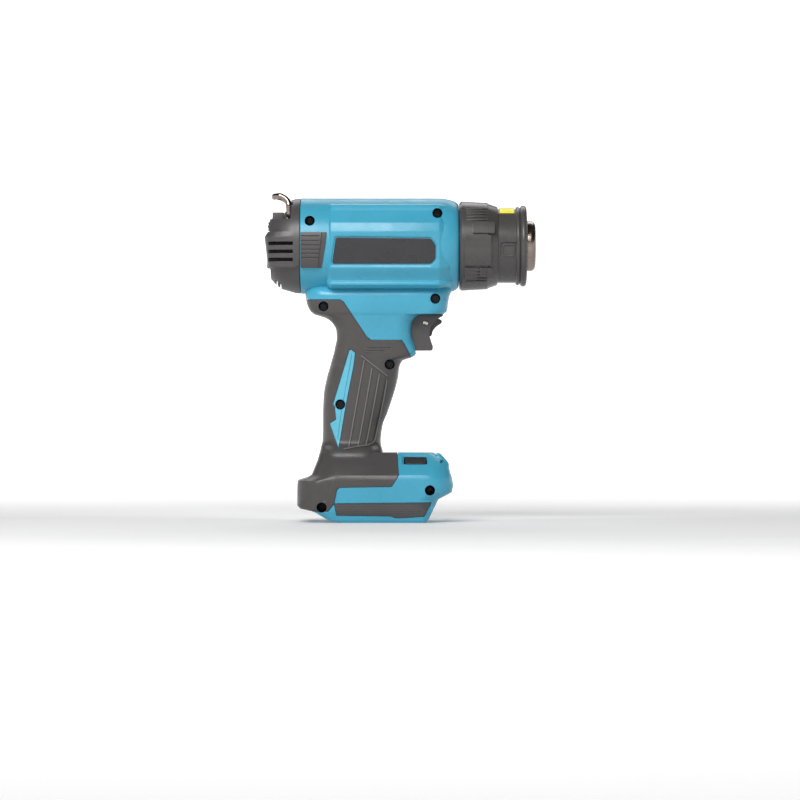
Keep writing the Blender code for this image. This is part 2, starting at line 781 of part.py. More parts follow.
def make_lock_ring():
    """The turning collar, with fine ribs on four corners and a pad on each side."""
    profile = [
        (63.0, 25.0),
        (56.9, 27.5),
        (39.2, COLLAR_R),
        (38.2, 28.2),
        (38.2, GUARD_R + 0.35),
        (63.0, GUARD_R + 0.35),
    ]
    collar = place("lock_ring", turned(profile, BARREL_SIDES), "dark_plastic")
    for corner in (46, 134, 226, 314):
        for step in range(-2, 3):
            rib = box((42.4, 55.6), (-0.5, 0.5), (26.0, COLLAR_R + 0.35))
            add(collar, about_barrel(rib, corner + 5 * step))
    for side in (-1, 1):
        section = [(58.4, 27.9), (41.5, 29.9), (41.5, 25.5), (58.4, 25.5)]
        pad = place("pad", turned(section, 48, 0.8), "dark_plastic")
        keep(pad, box((30, 70), sorted((side * 5, side * 60)), (165.3, 184.8)))
        add(collar, settled(pad))


def make_nozzle_guard():
    """The sliding guard, with a bead round its front and a lip over the heater's sleeve."""
    profile = [
        *arc(78.2, 23.2, (3.6, 3.2), (0, 45, 90, 135, 180)),
        (74.0, GUARD_R),
        (41.0, GUARD_R),
        (41.0, 21.6),
        (79.4, 21.6),
        (79.4, 17.4),
        (81.8, 17.4),
    ]
    guard = place("nozzle_guard", turned(profile, BARREL_SIDES), "dark_plastic")
    for side in (-1, 1):
        cut(guard, box((64.4, 75.0), sorted((side * 23.0, side * 40)), (170.1, 180.6)))


def make_heat_label():
    band = ring((64.1, 73.6), GUARD_R + 0.9, GUARD_R + GAP, 96)
    label = place("heat_label", band, "label_yellow")
    keep(label, box((60, 76), (-12.6, 12.6), (AXIS_Z + 15, FAR)))


def make_nozzle_tube():
    lip = arc(84.4, 13.0, (3.3, 3.3), (0, 30, 60, 90))
    profile = [*lip, (-6.0, TUBE_R), (-6.0, 15.6), (84.0, 15.6), (84.0, 13.0)]
    place("nozzle_tube", turned(profile, 32), "nozzle_steel")


def make_heater():
    """The ceramic former with its coil in a mica sleeve, and the flange behind them."""
    place("mica_sleeve", ring((-4, 80), 15.2, 14.4), "mica")
    former = place("heater_core", rod("X", 0, 62, 3.2, (0, AXIS_Z)), "ceramic")
    for step in range(3):
        add(former, about_barrel(box((1, 61), (-10.8, 10.8), (-0.9, 0.9)), 60 * step))
    coil = []
    for step in range(COIL_TURNS * COIL_STEPS + 1):
        turns = step / COIL_STEPS
        y, z = COIL_R * math.cos(math.tau * turns), COIL_R * math.sin(math.tau * turns)
        coil.append((COIL_START + COIL_PITCH * turns, y, AXIS_Z + z))
    place("heater_coil", wire(coil, 0.7, 1), "resistance_wire")
    place("heater_flange", ring((-9.0, -6.4), DUCT_R + 0.1, 12.0), "motor_steel")
    place("thermal_cutout", rod("X", -13.0, -9.4, 3.2, (0, AXIS_Z - 21), 20), "ceramic")


# ---------------------------------------------------------------- fan


def make_fan():
    """Impeller on its shaft, motor, mount and shroud, from back to front."""
    fan = place("fan_impeller", rod("X", -51, -41, 7.5, (0, AXIS_Z), 24, 9.0), "fan_white")
    add(fan, rod("X", -50, -30, SHAFT_R, (0, AXIS_Z), 12))
    middle = Matrix.Translation((-46 * MM, 0, 0))
    tilt = middle @ Matrix.Rotation(math.radians(BLADE_PITCH), 4, "Z") @ middle.inverted()
    for step in range(FAN_BLADES):
        blade = box((-49.5, -42.5), (-0.7, 0.7), (5, FAN_R))
        blade.transform(tilt)
        add(fan, about_barrel(blade, 360 * step / FAN_BLADES))
    motor = place("fan_motor", rod("X", -39, -13, MOTOR_R, (0, AXIS_Z), 40), "motor_steel")
    cut(motor, rod("X", -45, -28, SHAFT_R + PLAY, (0, AXIS_Z), 12))
    add(motor, rod("X", -14, -11.5, 4.0, (0, AXIS_Z), 16))
    place("fan_shroud", ring((-53, -37.5), DUCT_R, 25.4), "fan_white")
    mount = place("motor_mount", ring((-30, -22), DUCT_R, 25.6, 24), "fan_white")
    add(mount, ring((-34, -20), 16.2, MOTOR_R + 0.5, 24, 1.1))
    for step in range(MOUNT_SPOKES):
        spoke = box((-29, -23), (-1.2, 1.2), (15.4, 26.4))
        add(mount, about_barrel(spoke, 360 * (step + 0.5) / MOUNT_SPOKES))


# ---------------------------------------------------------------- trigger and switch


def make_trigger():
    """The trigger with its lock-off lever, and the switch behind it."""
    trigger = place("trigger", prism(TRIGGER, -TRIGGER_HALF, TRIGGER_HALF), "dark_plastic")
    edge = trigger.modifiers.new("edge", "BEVEL")
    edge.width = 1.2 * MM
    edge.segments = 2
    edge.limit_method = "ANGLE"
    edge.angle_limit = math.radians(70)
    reach = LEVER_HALF + 0.5
    cut(trigger, box((11.6, 40), (-reach, reach), (117.6, 140)))
    cut(trigger, rod("Y", -20, 20, LEVER_BORE, LEVER_PIVOT, 16))
    x, z = LEVER_PIVOT
    lever = prism(LEVER, -LEVER_HALF, LEVER_HALF)
    lever = place("lock_off_lever", lever, "dark_plastic", (x, 0, z))
    cut(lever, rod("Y", -20, 20, LEVER_BORE, LEVER_PIVOT, 16))
    pin = rod("Y", 0.2 - TRIGGER_HALF, TRIGGER_HALF - 0.2, LEVER_BORE - GAP, LEVER_PIVOT, 16)
    place("lever_pin", pin, "motor_steel")
    place("switch_plunger", rod("X", -14, 0, PLUNGER_R, (0, PLUNGER_Z), 20), "fan_white")
    switch = place("trigger_switch", box(*SWITCH), "dark_plastic")
    cut(switch, rod("X", -24, 0, PLUNGER_R + PLAY, (0, PLUNGER_Z), 20))
    add(switch, box(*SWITCH_TERMINALS))


# ---------------------------------------------------------------- foot


def shoulder_frame(x, z):
    """Axes on the foot's right shoulder: X, up the slope, and straight out of it."""
    low, high = FOOT[-3], FOOT[-2]
    share = (z - low[0]) / (high[0] - low[0])
    if share > 1:
        low, high = FOOT[-2], FOOT[-1]
        share = (z - low[0]) / (high[0] - low[0])
    y = -(low[3] + (high[3] - low[3]) * share)
    up = Vector((0, low[3] - high[3], high[0] - low[0])).normalized()
    out = Vector((0, -up.z, up.y))
    return Vector((x, y, z)), up, out


def button_block(gap, span):
    """A block square to the shoulder, with a gap round it and a span along the normal."""
    centre, up, out = shoulder_frame(*BUTTON_AT)
    half_x, half_up = BUTTON_HALF[0] + gap, BUTTON_HALF[1] + gap
    block = box((-half_x, half_x), (-half_up, half_up), span)
    turn = Matrix((Vector((1, 0, 0)), up, out)).transposed().to_4x4()
    block.transform(Matrix.Translation(centre * MM) @ turn)
    return block


def make_foot_parts():
    """The mode button, the board under it and the battery's terminals."""
    place("mode_button", button_block(0.0, BUTTON_SPAN), "dark_plastic")
    board = place("control_board", box(*BOARD), "circuit_board")
    top = BOARD[2][1]
    for x, y, height, width in BOARD_PARTS:
        half = width / 2
        add(board, box((x - half, x + half), (y - half, y + half), (top - 0.6, top + height)))
    block = place("terminal_block", box(*TERMINAL_BLOCK), "dark_plastic")
    add(block, box(*TERMINAL_FLANGE))
    for y, name in ((-BLADE_Y, "terminal_negative"), (BLADE_Y, "terminal_positive")):
        blade = ((-37.6, -20.0), (y - 0.5, y + 0.5), (5.0, 10.0))
        cut(block, box(*widened(blade, PLAY)))
        place(name, box(*blade), "terminal_brass")


def smooth_path(points, count):
    """A Catmull-Rom curve through hand-set points."""
    path = []
    places = [Vector(point) for point in points]
    places = [places[0] * 2 - places[1], *places, places[-1] * 2 - places[-2]]
    for a, b, c, d in zip(places, places[1:], places[2:], places[3:]):
        square, cube = 2 * a - 5 * b + 4 * c - d, 3 * b - a - 3 * c + d
        for step in range(count):
            t = step / count
            path.append(b + ((c - a) * t + square * t * t + cube * t**3) / 2)
    return [tuple(point) for point in [*path, places[-2]]]


def make_leads():
    place("power_leads", wire(smooth_path(POWER_LEADS, 4), 1.3, 1), "lead_rubber")
    place("motor_leads", wire(smooth_path(MOTOR_LEADS, 4), 1.0, 1), "lead_rubber")


def make_screws():
    for number, (x, z, seat, _) in enumerate(SCREWS, 1):
        head = rod("Y", -seat - SCREW_HEAD_H, -seat, SCREW_HEAD_R, (x, z), 20)
        screw = place(f"housing_screw_{number}", head, "black_screw")
        add(screw, rod("Y", -seat - 0.6, SCREW_REACH, SCREW_SHANK_R, (x, z), 12))
        cut(screw, rod("Y", -seat - 5, -seat - 0.9, SOCKET_R, (x, z), 6))


def main():
    clear_scene()
    make_materials()
    body = blue_body()
    for side in (-1, 1):
        make_housing(side, body)
        make_grip(side)
        make_insert(side)
        make_foot_panel(side)
        make_side_panel(side)
        make_nameplate(side)
    make_rear_cover()
    make_hook()
    make_dial()
    make_potentiometer()
    make_lock_ring()
    make_nozzle_guard()
    make_heat_label()
    make_nozzle_tube()
    make_heater()
    make_fan()
    make_trigger()
    make_foot_parts()
    make_leads()
    make_screws()


main()
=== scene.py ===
"""Looks of a cordless heat gun: detailed pieces over the plain parts, materials, lights and camera.

The parts' own frame is used: +X out of the nozzle, +Z up, and -Y is the right side, which the
camera faces. Lengths are in millimetres, and MM turns them into metres. Only the room's are in metres.
"""

import json
import math

import bmesh
import bpy
from mathutils import Matrix, Vector

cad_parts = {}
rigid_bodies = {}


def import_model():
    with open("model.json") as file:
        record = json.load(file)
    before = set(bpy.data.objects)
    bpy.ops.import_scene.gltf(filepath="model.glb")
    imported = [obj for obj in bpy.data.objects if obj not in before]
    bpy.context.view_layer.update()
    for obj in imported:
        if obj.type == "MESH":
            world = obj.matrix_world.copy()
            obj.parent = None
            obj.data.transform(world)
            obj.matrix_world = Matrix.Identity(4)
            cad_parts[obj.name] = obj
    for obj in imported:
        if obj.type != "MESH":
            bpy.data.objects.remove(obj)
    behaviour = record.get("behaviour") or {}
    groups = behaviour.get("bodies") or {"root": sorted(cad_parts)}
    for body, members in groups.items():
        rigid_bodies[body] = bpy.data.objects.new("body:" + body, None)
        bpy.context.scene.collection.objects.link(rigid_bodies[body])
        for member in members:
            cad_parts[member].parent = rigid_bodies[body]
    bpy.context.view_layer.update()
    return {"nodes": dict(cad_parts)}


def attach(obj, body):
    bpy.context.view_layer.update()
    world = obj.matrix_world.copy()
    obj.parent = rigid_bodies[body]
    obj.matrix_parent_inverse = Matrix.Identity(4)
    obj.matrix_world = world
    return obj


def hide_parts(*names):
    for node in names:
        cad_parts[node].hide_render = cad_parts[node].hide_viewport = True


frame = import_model()

MM = 0.001
GAP = 0.3  # between neighbouring pieces

# Spans that reach past the tool on every side
ALL_X = (-120, 120)
ALL_Y = (-60, 60)
ALL_Z = (-20, 240)
FAR = 60.0

# The shell
AXIS_Z = 178.8
BARREL_R = 31.0
BARREL_REAR = -64.7
BARREL_FRONT = 37.8
BORE_R = 28.3
NOSE_X = 24.0  # where the barrel's rounded front shoulder starts
NOSE_DROP = 5.1
THROAT_X = 35.0  # where the bore narrows
SPIGOT_R = 21.0
SPIGOT_FRONT = 52.0
POD_HALF = 31.5
SKIN = 2.2  # of the soft grip and of the insert
CORE = SKIN + GAP
CAVITY = CORE + 2.1
SPLIT = GAP / 2
TONGUE_DEPTH = 1.0
FOOT_TOP = 44.7
FOOT_PANEL_DEPTH = 1.5
PLATE_DEPTH = 1.0
ROOF_Z = 12.0
SLIDE_REAR = -46.0
SLIDE_HALF = 27.0
GROOVE_HALF = 31.0
GROOVE_Z = (4.0, 9.0)
TERMINAL_X = (-44.4, -29.6)
TERMINAL_HALF = 14.4
TRIGGER_X = (-8, 40)
TRIGGER_Z = (109.4, 135.1)
GUARD_R = 23.95
COLLAR_R = 29.0
TUBE_R = 16.3
SCREW_HEAD_R = 2.9
SCREW_HOLE_R = 3.3
SCREW_SHANK_R = 1.35
SCREW_REACH = 8.5
BOSS_R = 3.8
TRIGGER_HALF = 9.0
LEVER_HALF = 3.3
LEVER_PIVOT = (16.3, 128.8)
HOOK_PIVOT = (-71.8, 198.2)
HOOK_HALF = 12.5
WIRE_R = 2.0
DIAL_CENTRE = (-79.2, 191.4)
DIAL_R = 7.0
DIAL_HALF = 3.5
BUTTON_AT = (9.6, 40.5)
BUTTON_HALF = (7.2, 3.4)
LUG_R = 3.2
ROUND = 180  # sides of a large turned shape

# Details of the surface
RIB_WIDTH = 0.8
CREASE_WIDTH = 0.35
HATCH_STEP = 1.7
HATCH_WIDTH = 0.55
PANEL_GROOVES = (169.8, 172.4, 175.0, 177.8, 180.5, 183.7)
COVER_SLOTS = ((178.4, 180.7), (173.2, 175.5), (168.0, 170.3))
NOTCHES = 18

# The room, the camera and the lights, in metres
ROOM_R = 3.2
ROOM_BEND = 0.6
ROOM_HEIGHT = 0.95
FLOOR_GLOW = 0.30
SIDE_GLOW = 0.5  # of the walls beside and behind the camera, as a share of the wall in front
WALL_GLOW = 0.95
CAMERA_DISTANCE = 2.6
CAMERA_Z = 0.0788
CAMERA_X = -0.0003
FRAME_WIDTH = 0.52  # of the view, at the tool
LIGHT_TARGET = (0, 0, 0.11)
LIGHTS = (
    # name, place, size, power in watts
    ("key", (-0.45, -1.25, 1.2), (1.2, 0.7), 27),
    ("back", (0.0, 1.3, 1.3), (1.6, 0.8), 9),
)
WORLD_STRENGTH = 0.03

# Screws: x, z, and the depth of the head's seat from the split plane.
SCREWS = (
    (-58.4, 194.2, 14.0),
    (23.8, 199.2, 12.0),
    (22.5, 144.2, 12.0),
    (-49.7, 139.2, 11.0),
    (-7.0, 101.8, 6.5),
    (-38.9, 75.9, 9.0),
    (-50.5, 9.9, 12.0),
    (18.9, 20.9, 12.0),
)
FLASH_SCREW = SCREWS[5]

# Level sections: z, rear x, front x, half width, corner radius.
HANDLE = (
    (36.0, -54.5, -9.5, 29.5, 14.0),
    (40.0, -53.6, -10.2, 27.8, 14.0),
    (42.0, -53.0, -10.8, 26.0, 14.0),
    (44.0, -52.4, -11.2, 25.2, 14.0),
    (46.0, -52.0, -11.6, 23.8, 14.0),
    (48.0, -51.6, -12.2, 21.3, 14.5),
    (50.0, -51.1, -12.6, 18.5, 15.0),
    (52.4, -50.6, -12.8, 17.5, 15.5),
    (62.1, -50.3, -11.7, 17.3, 16.0),
    (71.0, -50.3, -8.3, 17.3, 16.0),
    (82.2, -49.8, -4.6, 17.4, 16.0),
    (93.4, -47.8, -1.6, 17.6, 16.0),
    (100.9, -45.6, -0.5, 17.7, 15.5),
    (104.6, -44.6, 1.4, 17.7, 13.0),
    (106.6, -44.0, 7.6, 17.8, 11.5),
    (109.0, -43.2, 10.2, 17.9, 11.0),
    (113.5, -42.3, 9.4, 18.1, 10.5),
    (119.0, -41.3, 7.6, 18.4, 10.5),
    (124.0, -41.6, 6.9, 18.8, 10.5),
    (128.9, -44.3, 7.4, 19.3, 10.5),
    (132.2, -48.6, 9.6, 19.7, 10.5),
    (134.2, -55.0, 13.0, 20.0, 11.0),
    (134.5, -56.0, 27.8, 20.2, 12.0),
    (137.5, -59.0, 30.4, 20.6, 13.0),
    (142.0, -60.8, 31.0, 20.8, 14.0),
    (146.4, -61.6, 31.9, 20.6, 14.0),
    (149.0, -62.0, 33.0, 19.6, 14.0),
    (151.0, -62.4, 34.0, 18.0, 14.0),
    (153.5, -62.6, 34.5, 15.0, 12.0),
    (158.0, -62.6, 34.5, 11.0, 9.0),
)
FOOT = (
    (0.0, -39.1, 16.6, 36.0, 3.0),
    (1.6, -46.3, 17.8, 37.6, 4.0),
    (7.0, -55.4, 20.4, 39.5, 6.0),
    (9.0, -64.2, 21.4, 39.5, 9.0),
    (10.9, -66.4, 22.5, 39.5, 12.0),
    (14.8, -66.5, 24.3, 39.5, 15.0),
    (19.3, -66.5, 33.0, 39.5, 16.0),
    (24.0, -66.5, 34.1, 39.5, 16.5),
    (26.9, -66.2, 33.6, 39.5, 16.5),
    (28.6, -60.6, 33.4, 39.3, 16.5),
    (30.7, -57.3, 32.6, 38.4, 16.0),
    (39.4, -53.8, 30.3, 28.6, 13.0),
    (FOOT_TOP, -52.3, 21.6, 22.5, 9.0),
)

# Side outlines, as x and z.
SOFT_AREA = (
    (-74.0, 145.6), (-61.0, 144.6), (-59.8, 143.4), (-38.9, 143.4), (-36.7, 141.9),
    (-21.8, 119.5), (-18.8, 117.3), (0.7, 117.3), (2.9, 114.3), (6.6, 106.9),
    (14.0, 103.0), (14.0, 60.0), (-2.1, 50.0), (-2.1, 43.9), (-1.2, 30.7), (-5.8, 23.5),
    (-39.1, 23.0), (-40.9, 21.2), (-42.6, 12.6), (-46.5, 7.6), (-74.0, 7.6),
)
FLASH = (
    (-31.9, 111.3), (-29.3, 109.1), (-30.4, 100.9), (-35.2, 76.2), (-36.7, 67.3),
    (-40.0, 47.9), (-45.6, 63.6), (-41.5, 66.2), (-42.4, 74.5), (-43.4, 76.2),
    (-33.0, 110.6),
)
FLASH_CREASE = ((-31.4, 108.6), (-32.6, 100.9), (-37.2, 76.2), (-38.6, 67.3), (-40.6, 54.0))
GRIP_RIBS = (
    ((-23.3, 104.6), (-26.0, 90.0), (-29.9, 68.0), (-33.3, 48.6)),
    ((-18.4, 99.4), (-21.0, 84.0), (-24.6, 64.0), (-27.4, 49.0)),
    ((-13.6, 95.7), (-16.0, 82.0), (-19.6, 63.0), (-22.2, 49.8)),
    ((-8.7, 91.9), (-10.9, 79.0), (-14.6, 62.0), (-16.6, 53.0), (-18.4, 50.9), (-21.0, 50.0)),
    ((-8.3, 94.2), (-25.5, 107.6)),
    ((-20.3, 49.9), (-28.0, 48.9), (-36.7, 47.2)),
)
HATCH = ((-19.5, 115.1), (-2.3, 114.7), (-9.0, 111.0), (-23.3, 108.4))
FOOT_BAND = (
    (0.0, 30.4), (-36.5, 30.6), (-40.5, 29.8), (-43.2, 26.5), (-45.2, 20.0),
    (-47.2, 14.5), (-50.0, 13.2), (-49.0, 8.0), (-41.0, 8.0), (-41.6, 15.0),
    (-38.8, 22.0), (-4.0, 22.6),
)
FOOT_PANEL = (
    (-42.3, 12.3), (19.6, 12.9), (15.2, 4.4), (1.8, 3.4), (-3.6, 3.4), (-6.4, 4.6),
    (-40.8, 5.0),
)
SIDE_PANEL = ((-64.3, 186.6), (-47.3, 186.6), (-48.2, 178.0), (-50.7, 163.7), (-64.3, 163.7))
NAMEPLATE = (
    (-41.5, 183.3), (19.4, 182.5), (22.4, 178.7), (22.4, 169.5), (19.4, 166.5),
    (-43.9, 166.5),
)
POD_SECTION = (
    (17.0, 205.6), (20.9, 204.6), (22.9, 200.9), (29.8, 192.9), (POD_HALF, 187.0),
    (POD_HALF, 163.6), (29.7, 161.0), (27.4, 158.2), (25.6, 155.6), (26.8, 154.4),
    (26.8, 152.8), (21.5, 150.8),
)
TRIGGER = (
    (0.3, 133.6), (13.3, 134.2), (27.4, 134.2), (27.9, 133.6), (24.9, 132.1),
    (20.2, 127.2), (18.9, 123.6), (18.9, 120.0), (20.0, 116.4), (21.2, 113.2),
    (20.7, 110.9), (0.3, 110.9),
)
LEVER = (
    (13.6, 131.0), (17.6, 131.4), (22.0, 131.2), (25.2, 131.6), (27.0, 130.4),
    (26.9, 128.8), (23.4, 126.6), (21.0, 123.8), (20.2, 120.2), (17.2, 120.2),
    (15.4, 124.8), (13.4, 127.0),
)
SIDES = (-1, 1)
NAMES = {-1: "right", 1: "left"}  # by the side's direction along Y
Y_AXIS = Matrix.Rotation(math.radians(-90), 4, "X")
BARREL_CENTRE = Vector((0, 0, AXIS_Z)) * MM


# -------- shapes, as meshes in the frame


def mesh_of(bm):
    """A mesh from faces, all facing outwards."""
    bmesh.ops.recalc_face_normals(bm, faces=bm.faces)
    mesh = bpy.data.meshes.new("shape")
    bm.to_mesh(mesh)
    bm.free()
    return mesh


def ordered(side, near, far):
    """Two distances from the split plane, as a span of Y on one side."""
    return tuple(sorted((side * near, side * far)))


def box(x, y, z):
    """A box between two ends on each axis."""
    middle = Vector([(low + high) / 2 for low, high in (x, y, z)]) * MM
    size = Matrix.Diagonal([(high - low) * MM for low, high in (x, y, z)] + [1.0])
    bm = bmesh.new()
    bmesh.ops.create_cube(bm, size=1.0, matrix=Matrix.Translation(middle) @ size)
    return mesh_of(bm)


def rod(start, end, radius, at, sides=40):
    """A round bar across the tool, from one Y to another, at a place of x and z."""
    centre = Vector((at[0], (start + end) / 2, at[1])) * MM
    bm = bmesh.new()
    bmesh.ops.create_cone(
        bm,
        cap_ends=True,
        segments=sides,
        radius1=radius * MM,
        radius2=radius * MM,
        depth=(end - start) * MM,
        matrix=Matrix.Translation(centre) @ Y_AXIS,
    )
    return mesh_of(bm)


def arc(centre, radii, start, end, steps):
    """Points along a part of an ellipse, from one angle in degrees to another."""
    points = []
    for step in range(steps + 1):
        a = math.radians(start + (end - start) * step / steps)
        points.append((centre[0] + radii[0] * math.cos(a), centre[1] + radii[1] * math.sin(a)))
    return points


def skin_over(rings, capped=True):
    """Faces between rings of points; a ring of one point closes to a tip."""
    bm = bmesh.new()
    loops = [[bm.verts.new(Vector(p) * MM) for p in ring] for ring in rings]
    pairs = list(zip(loops, loops[1:]))
    if not capped:
        pairs.append((loops[-1], loops[0]))
    for lower, upper in pairs:
        count = max(len(lower), len(upper))
        for i in range(count):
            j = (i + 1) % count
            if len(lower) == 1:
                bm.faces.new((lower[0], upper[j], upper[i]))
            elif len(upper) == 1:
                bm.faces.new((lower[i], lower[j], upper[0]))
            else:
                bm.faces.new((lower[i], lower[j], upper[j], upper[i]))
    if capped:
        for loop in (loops[0], loops[-1]):
            if len(loop) > 2:
                bm.faces.new(loop)
    return mesh_of(bm)


def turned(profile, sides=ROUND, phase=0.0):
    """A shape turned about the barrel's axis: points of the profile are x and radius, in order."""
    rings = []
    for x, radius in profile:
        if radius == 0:
            rings.append([(x, 0, AXIS_Z)])
            continue
        angles = [math.tau * i / sides + math.radians(phase) for i in range(sides)]
        rings.append([(x, radius * math.cos(a), AXIS_Z + radius * math.sin(a)) for a in angles])
    return skin_over(rings, capped=min(radius for _, radius in profile) == 0)


def grown(outline, distance):
    """An outline moved outwards by a distance, corner by corner."""
    count = len(outline)
    area = sum(a[0] * b[1] - b[0] * a[1] for a, b in zip([outline[-1], *outline], outline))
    side = 1.0 if area > 0 else -1.0
    corners = []
    for i in range(count):
        here = Vector(outline[i])
        before = (here - Vector(outline[i - 1])).normalized()
        after = (Vector(outline[(i + 1) % count]) - here).normalized()
        out = Vector((before.y + after.y, -before.x - after.x)).normalized() * side
        reach = max(out.dot(Vector((after.y, -after.x)) * side), 0.4)
        corners.append(tuple(here + out * distance / reach))
    return corners


def rounded(outline, radius, steps=5):
    """An outline with its corners turned into small curves."""
    count = len(outline)
    points = []
    for i in range(count):
        here = Vector(outline[i])
        before, after = Vector(outline[i - 1]) - here, Vector(outline[(i + 1) % count]) - here
        start = here + before.normalized() * min(radius, before.length * 0.45)
        end = here + after.normalized() * min(radius, after.length * 0.45)
        for step in range(steps + 1):
            t = step / steps
            points.append(tuple(start * (1 - t) ** 2 + here * 2 * t * (1 - t) + end * t * t))
    return points


def prism(outline, y_from, y_to, chamfer=0.0):
    """A flat outline of x and z with a thickness along Y; the end at y_to can be chamfered."""
    rings = [[(x, y_from, z) for x, z in outline]]
    if chamfer:
        edge = y_to - math.copysign(chamfer, y_to - y_from)
        rings.append([(x, edge, z) for x, z in outline])
        outline = grown(outline, -chamfer)
    rings.append([(x, y_to, z) for x, z in outline])
    return skin_over(rings)


def strip(points, width):
    """The outline of a narrow band along a line of points."""
    left, right = [], []
    for i, point in enumerate(points):
        here = Vector(point)
        ahead = Vector(points[min(i + 1, len(points) - 1)]) - Vector(points[max(i - 1, 0)])
        across = Vector((-ahead.y, ahead.x)).normalized() * width / 2
        left.append(tuple(here + across))
        right.append(tuple(here - across))
    return left + right[::-1]


def monotone(heights, values):
    """A smooth curve through the values, with no overshoot."""
    spans = [b - a for a, b in zip(heights, heights[1:])]
    slopes = [(b - a) / span for a, b, span in zip(values, values[1:], spans)]
    tangents = [slopes[0]]
    for i in range(1, len(slopes)):
        low, high = slopes[i - 1], slopes[i]
        first, second = 2 * spans[i] + spans[i - 1], spans[i] + 2 * spans[i - 1]
        flat = low * high <= 0
        tangents.append(0.0 if flat else (first + second) / (first / low + second / high))
    tangents.append(slopes[-1])

    def at(height):
        i = max(k for k in range(len(spans)) if k == 0 or heights[k] <= height)
        t = (height - heights[i]) / spans[i]
        start = values[i] * (1 + 2 * t) * (1 - t) ** 2 + values[i + 1] * t * t * (3 - 2 * t)
        bend = tangents[i] * t * (1 - t) ** 2 - tangents[i + 1] * t * t * (1 - t)
        return start + bend * spans[i]

    return at


def fine(sections, step=1.2):
    """More sections between those of a table, on smooth curves through its columns."""
    heights = [section[0] for section in sections]
    columns = [monotone(heights, column) for column in list(zip(*sections))[1:]]
    levels = set(heights)
    for low, high in zip(heights, heights[1:]):
        count = max(1, round((high - low) / step))
        levels.update(low + (high - low) * i / count for i in range(count))
    return [(z, *(column(z) for column in columns)) for z in sorted(levels)]


FINE_HANDLE = fine(HANDLE)


def level_ring(section, inset=0.0, steps=9):
    """The points of a level rectangle with round corners, moved inwards by inset."""
    z, rear, front, half, radius = section
    rear, front, half = rear + inset, front - inset, half - inset
    radius = max(radius - inset, 1.0)
    corners = ((front, half, 0), (rear, half, 90), (rear, -half, 180), (front, -half, 270))
    ring = []
    for x, y, start in corners:
        cx = x - math.copysign(radius, x - (rear + front) / 2)
        cy = y - math.copysign(radius, y)
        corner = arc((cx, cy), (radius, radius), start, start + 90, steps)
        ring += [(px, py, z) for px, py in corner]
    return ring


def lofted(sections, inset=0.0, low=0.0, high=0.0):
    """A skin over level sections, inset all round; low and high shorten its ends."""
    first, last = sections[0][0] + low, sections[-1][0] - high
    inside = [section for section in sections if first < section[0] < last]
    ends = [(first, *sections[0][1:])] + inside + [(last, *sections[-1][1:])]
    return skin_over([level_ring(section, inset) for section in ends])


def hull(points):
    """The tightest skin without hollows round some points."""
    bm = bmesh.new()
    for point in points:
        bm.verts.new(Vector(point) * MM)
    found = bmesh.ops.convex_hull(bm, input=bm.verts)
    inner = {v for v in found["geom_interior"] if isinstance(v, bmesh.types.BMVert)}
    bmesh.ops.delete(bm, geom=list(inner), context="VERTS")
    return mesh_of(bm)


def smooth_path(points, count):
    """A Catmull-Rom curve through given points."""
    places = [Vector(p) for p in points]
    places = [places[0] * 2 - places[1], *places, places[-1] * 2 - places[-2]]
    path = []
    for a, b, c, d in zip(places, places[1:], places[2:], places[3:]):
        for step in range(count):
            t = step / count
            cubic = (3 * b - a - 3 * c + d) * t**3 + (2 * a - 5 * b + 4 * c - d) * t * t
            path.append(0.5 * (2 * b + (c - a) * t + cubic))
    return [*path, places[-2]]


def tube(points, radius, sides=28):
    """A round wire along a smooth line of points, with flat ends."""
    rings = []
    up = Vector((0, 0, 1))
    for i, point in enumerate(points):
        ahead = (points[min(i + 1, len(points) - 1)] - points[max(i - 1, 0)]).normalized()
        across = ahead.cross(up).normalized()
        up = across.cross(ahead).normalized()
        angles = [math.tau * k / sides for k in range(sides)]
        rings.append([point + (across * math.cos(a) + up * math.sin(a)) * radius for a in angles])
    return skin_over(rings)


def combined(operation, base, others):
    """The mesh after one Boolean for each of the others, in order."""
    scene = bpy.context.scene.collection.objects
    obj = bpy.data.objects.new("base", base)
    scene.link(obj)
    helpers = [bpy.data.objects.new("helper", mesh) for mesh in others]
    for helper in helpers:
        scene.link(helper)
        modifier = obj.modifiers.new("step", "BOOLEAN")
        modifier.operation = operation
        modifier.solver = "MANIFOLD"
        modifier.object = helper
    mesh = bpy.data.meshes.new_from_object(obj.evaluated_get(bpy.context.evaluated_depsgraph_get()))
    for helper in (obj, *helpers):
        bpy.data.objects.remove(helper)
    if not mesh.polygons:
        raise RuntimeError(f"a Boolean left nothing: {operation}")
    return mesh


def cut(base, *others):
    return combined("DIFFERENCE", base, others)


def add(base, *others):
    return combined("UNION", base, others)


def keep(base, *others):
    return combined("INTERSECT", base, others)


def moved(mesh, matrix):
    mesh.transform(matrix)
    return mesh


def about_barrel(mesh, degrees):
    """A mesh drawn above the origin, turned about the barrel's axis."""
    turn = Matrix.Rotation(math.radians(degrees), 4, "X")
    return moved(mesh, Matrix.Translation(BARREL_CENTRE) @ turn)


def softened(mesh, width, segments=3, angle=35.0):
    """A simple solid with its sharp edges bevelled."""
    bm = bmesh.new()
    bm.from_mesh(mesh)
    limit = math.radians(angle)
    sharp = [e for e in bm.edges if len(e.link_faces) == 2 and e.calc_face_angle(0.0) > limit]
    bmesh.ops.bevel(
        bm,
        geom=sharp,
        offset=width * MM,
        segments=segments,
        profile=0.5,
        affect="EDGES",
        clamp_overlap=True,
    )
    bmesh.ops.remove_doubles(bm, verts=bm.verts, dist=1e-7)
    return mesh_of(bm)


# -------- materials


